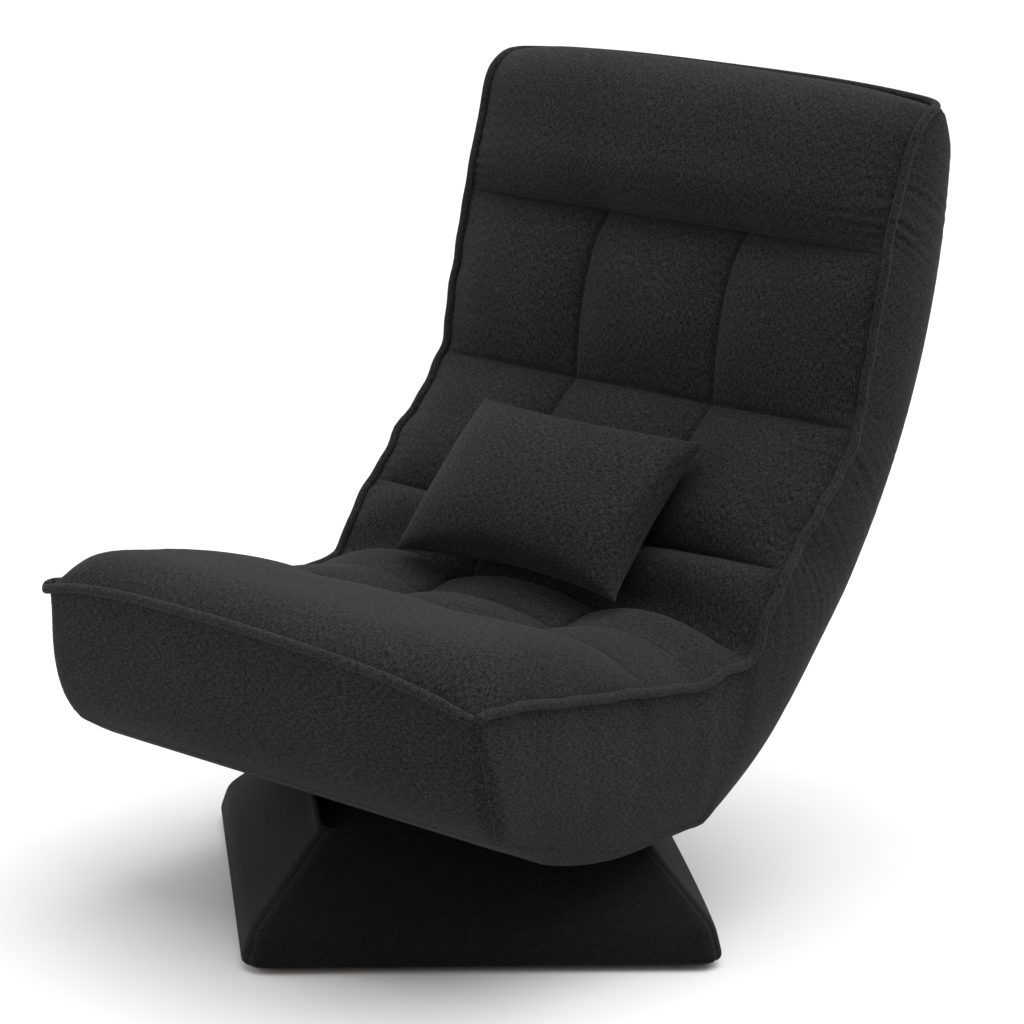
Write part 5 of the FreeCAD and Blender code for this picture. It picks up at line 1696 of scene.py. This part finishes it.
@dataclass
class Stitches:
    """Thread of the sewn seams on one or two bodies."""

    name: str
    lines: list[np.ndarray]
    obj: bpy.types.Object | None = None

    def build(self, tree: bpy.types.GeometryNodeTree, thread: bpy.types.Material) -> bpy.types.Object:
        """Lays the stitches with geometry nodes and keeps them as one mesh.

        Args:
            tree: the shared stitch tree.
            thread: finish of the thread.

        Returns:
            The stitches' object.
        """
        points = np.concatenate(self.lines)
        starts = np.cumsum([0] + [len(line) for line in self.lines])
        edges = [(i, i + 1) for a, b in zip(starts, starts[1:]) for i in range(a, b - 1)]
        mesh = bpy.data.meshes.new(self.name)
        mesh.from_pydata(points.tolist(), edges, [])
        self.obj = link(self.name, mesh)
        laying = self.obj.modifiers.new("stitches", "NODES")
        laying.node_group = tree
        for socket in tree.interface.items_tree:
            if socket.name == "Thread":
                laying[socket.identifier] = thread
        settle(self.obj)
        return self.obj


@dataclass
class LumbarPillow:
    """Loose knife-edged pillow."""

    view: SideView
    width: float = 0.292
    height: float = 0.206
    thick: Point = (0.052, 0.036)  # of the front and of the rear panel
    drawn: Point = (0.045, 0.085)  # how far the middles of the edges draw in
    lean: float = 45.0
    ahead: float = 0.051
    above: float = 0.0426
    beside: float = -0.005
    obj: bpy.types.Object | None = None
    stuffing: Stuffing = field(default_factory=lambda: Stuffing(3.0, 0.0, 30.0, 0.4, 16, 0.010, 1.0))

    def build(self) -> bpy.types.Object:
        """Sews two panels at their edges and stuffs them.

        Returns:
            The pillow's object.
        """
        a, b = np.meshgrid(self.spread(61), self.spread(43), indexing="ij")
        plump = (np.clip((1 - np.abs(a) ** 2.6) * (1 - np.abs(b) ** 2.4), 0, 1)) ** 0.62
        x = a * (1 - self.drawn[0] * (1 - b**2)) * self.width / 2
        y = b * (1 - self.drawn[1] * (1 - a**2)) * self.height / 2
        panels = []
        for side, thick in zip((1, -1), self.thick):
            points = np.stack([x, y, side * thick * plump], axis=2)
            panels.append(Panel(points, np.zeros(a.shape), side < 0, (0.21 * side, 0.63)))
        sewn = Sewn(panels)
        rim = np.isclose(np.abs(sewn.points[:, 2]), 0)
        self.obj = sewn.to_object("lumbar_pillow_cloth")
        self.stuffing.fill(self.obj, sewn.hold, sewn.calm)
        refine(self.obj, rim.astype(float), 0.85)
        self.place()
        return self.obj

    def spread(self, count: int) -> np.ndarray:
        """Places from -1 to 1 that stand closer together near the edges."""
        quarter = np.pi / 2 * 0.82
        return np.sin(np.linspace(-1, 1, count) * quarter) / np.sin(quarter)

    def place(self) -> None:
        """Leans the pillow on the back."""
        mesh = self.obj.data
        points = coordinates(mesh)
        points[:, 1] -= points[:, 1].min()
        foot = (self.view.crease[0] - self.ahead, self.view.crease[1] + self.above)
        turn = math.radians(self.lean)
        y = foot[0] + points[:, 1] * math.cos(turn) - points[:, 2] * math.sin(turn)
        z = foot[1] + points[:, 1] * math.sin(turn) + points[:, 2] * math.cos(turn)
        set_coordinates(mesh, np.column_stack([points[:, 0] + self.beside, y, z]))

    def dress(self, finishes: Finishes) -> None:
        """Finishes the pillow and ties it to its body.

        Args:
            finishes: the chair's materials.
        """
        self.obj.data.materials.append(finishes.linen)
        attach(self.obj, Body.PILLOW.value)
        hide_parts("lumbar_pillow")


@dataclass(frozen=True)
class Studio:
    """Camera of the photograph, soft light and a pale floor."""

    focal: float = 3284.7  # in pixels of the photograph
    frame_px: float = 1024.0
    sensor: float = 36.0
    pitch: float = 0.245682
    roll: float = -0.043862
    yaw: float = -0.653146
    shift: Point = (0.03911, 0.39364)
    distance: float = 3.42325
    far: float = 400.0  # end of the camera's sight
    sky: Point = (0.28, 1.60)  # strength at the horizon and overhead
    sun_power: float = 2.6
    sun_aim: tuple[float, float, float] = (-0.22, -0.10, -1.0)
    target: tuple[float, float, float] = (0, 0.05, 0.35)  # where the lamps point
    reach: float = 150.0  # half width of the floor

    def camera(self) -> None:
        """Places the camera where the photograph was taken."""
        right = Vector((math.cos(self.yaw), -math.sin(self.yaw), 0))
        level = Vector((math.sin(self.yaw), math.cos(self.yaw), 0))
        ahead = level * math.cos(self.pitch) - Vector((0, 0, math.sin(self.pitch)))
        up = level * math.sin(self.pitch) + Vector((0, 0, math.cos(self.pitch)))
        place = right * self.shift[0] + up * self.shift[1] - ahead * self.distance
        across = right * math.cos(self.roll) - up * math.sin(self.roll)
        upright = right * math.sin(self.roll) + up * math.cos(self.roll)
        data = bpy.data.cameras.new("photo_camera")
        data.sensor_width = self.sensor
        data.lens = self.focal / self.frame_px * self.sensor
        data.clip_end = self.far
        obj = link("photo_camera", data)
        turn = Matrix((across, upright, -ahead)).transposed().to_4x4()
        obj.matrix_world = Matrix.Translation(place) @ turn
        bpy.context.scene.camera = obj

    def lamp(self, name: str, place: tuple[float, float, float], size: float, power: float) -> None:
        """Hangs a square soft light that faces the chair.

        Args:
            name: the light's name.
            place: where it hangs.
            size: its width.
            power: in watts.
        """
        data = bpy.data.lights.new(name, "AREA")
        data.size = size
        data.energy = power
        obj = link(name, data)
        obj.location = place
        obj.rotation_euler = self.facing(Vector(self.target) - Vector(place))

    def sun(self) -> None:
        """Lights chair and floor evenly from above."""
        data = bpy.data.lights.new("overhead", "SUN")
        data.energy = self.sun_power
        data.angle = math.radians(60)
        link("overhead", data).rotation_euler = self.facing(Vector(self.sun_aim))

    def facing(self, aim: Vector) -> Euler:
        """Turn of a light that shines in a direction."""
        return aim.to_track_quat("-Z", "Y").to_euler()

    def floor(self) -> None:
        """Lays a pale floor."""
        mesh = bpy.data.meshes.new("floor")
        corners = [(x * self.reach, y * self.reach, 0) for x, y in ((-1, -1), (1, -1), (1, 1), (-1, 1))]
        mesh.from_pydata(corners, [], [(0, 1, 2, 3)])
        surface = Surface("pale_floor")
        place = surface.add("ShaderNodeTexCoord").outputs["Object"]
        tone = surface.stretch(surface.noise(place, 3.0, 4.0), 0.3, 0.7, 0.56, 0.58)
        grey = surface.add("ShaderNodeCombineColor", Red=tone, Green=tone, Blue=tone).outputs[0]
        surface.feed(surface.shader, Base_Color=grey, Roughness=0.9)
        mesh.materials.append(surface.material)
        link("floor", mesh)

    def build(self) -> None:
        """Sets camera, floor and lights."""
        self.camera()
        self.floor()
        world = bpy.data.worlds.new("studio")
        world.use_nodes = True
        board = Board(world.node_tree)
        toward = board.add("ShaderNodeTexCoord").outputs["Generated"]
        height = board.add("ShaderNodeSeparateXYZ", Vector=toward).outputs[2]
        glow = board.stretch(height, 0.0, 1.0, *self.sky)
        board.feed(world.node_tree.nodes["Background"], Color=(1, 1, 1, 1), Strength=glow)
        bpy.context.scene.world = world
        bpy.context.scene.view_settings.view_transform = "Standard"
        self.sun()
        self.lamp("key", (-1.7, -1.6, 0.9), 1.2, 20.0)
        self.lamp("side", (2.0, 1.6, 1.9), 1.0, 14.0)


def main() -> None:
    """Builds and dresses the chair."""
    logging.basicConfig(level=logging.INFO, format="%(name)s: %(message)s")
    Studio().build()
    finishes = Finishes()
    finishes.dress_frame()
    plan = PadPlan()
    recline = Recline()
    cover = PadCover(plan)
    under = UnderCloth(plan, cover)
    welt = Welt(cover)
    base = BaseCover()
    pillow = LumbarPillow(plan.view)
    for piece in (cover, under, welt, base, pillow):
        obj = piece.build()
        LOG.info("%s: %d points", obj.name, len(obj.data.vertices))
    cover.dress(finishes, recline)
    under.dress(finishes, recline)
    welt.dress(finishes, recline)
    base.dress(finishes)
    pillow.dress(finishes)
    tree = stitch_tree()
    pad_thread = Stitches("pad_stitches", cover.seam_lines()).build(tree, finishes.thread)
    base_thread = Stitches("base_stitches", base.corner_lines).build(tree, finishes.thread)
    recline.bend(pad_thread)
    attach(base_thread, Body.BASE.value)
    for obj in (pad_thread, base_thread):
        LOG.info("%s: %d points", obj.name, len(obj.data.vertices))


if __name__ == "__main__":
    main()
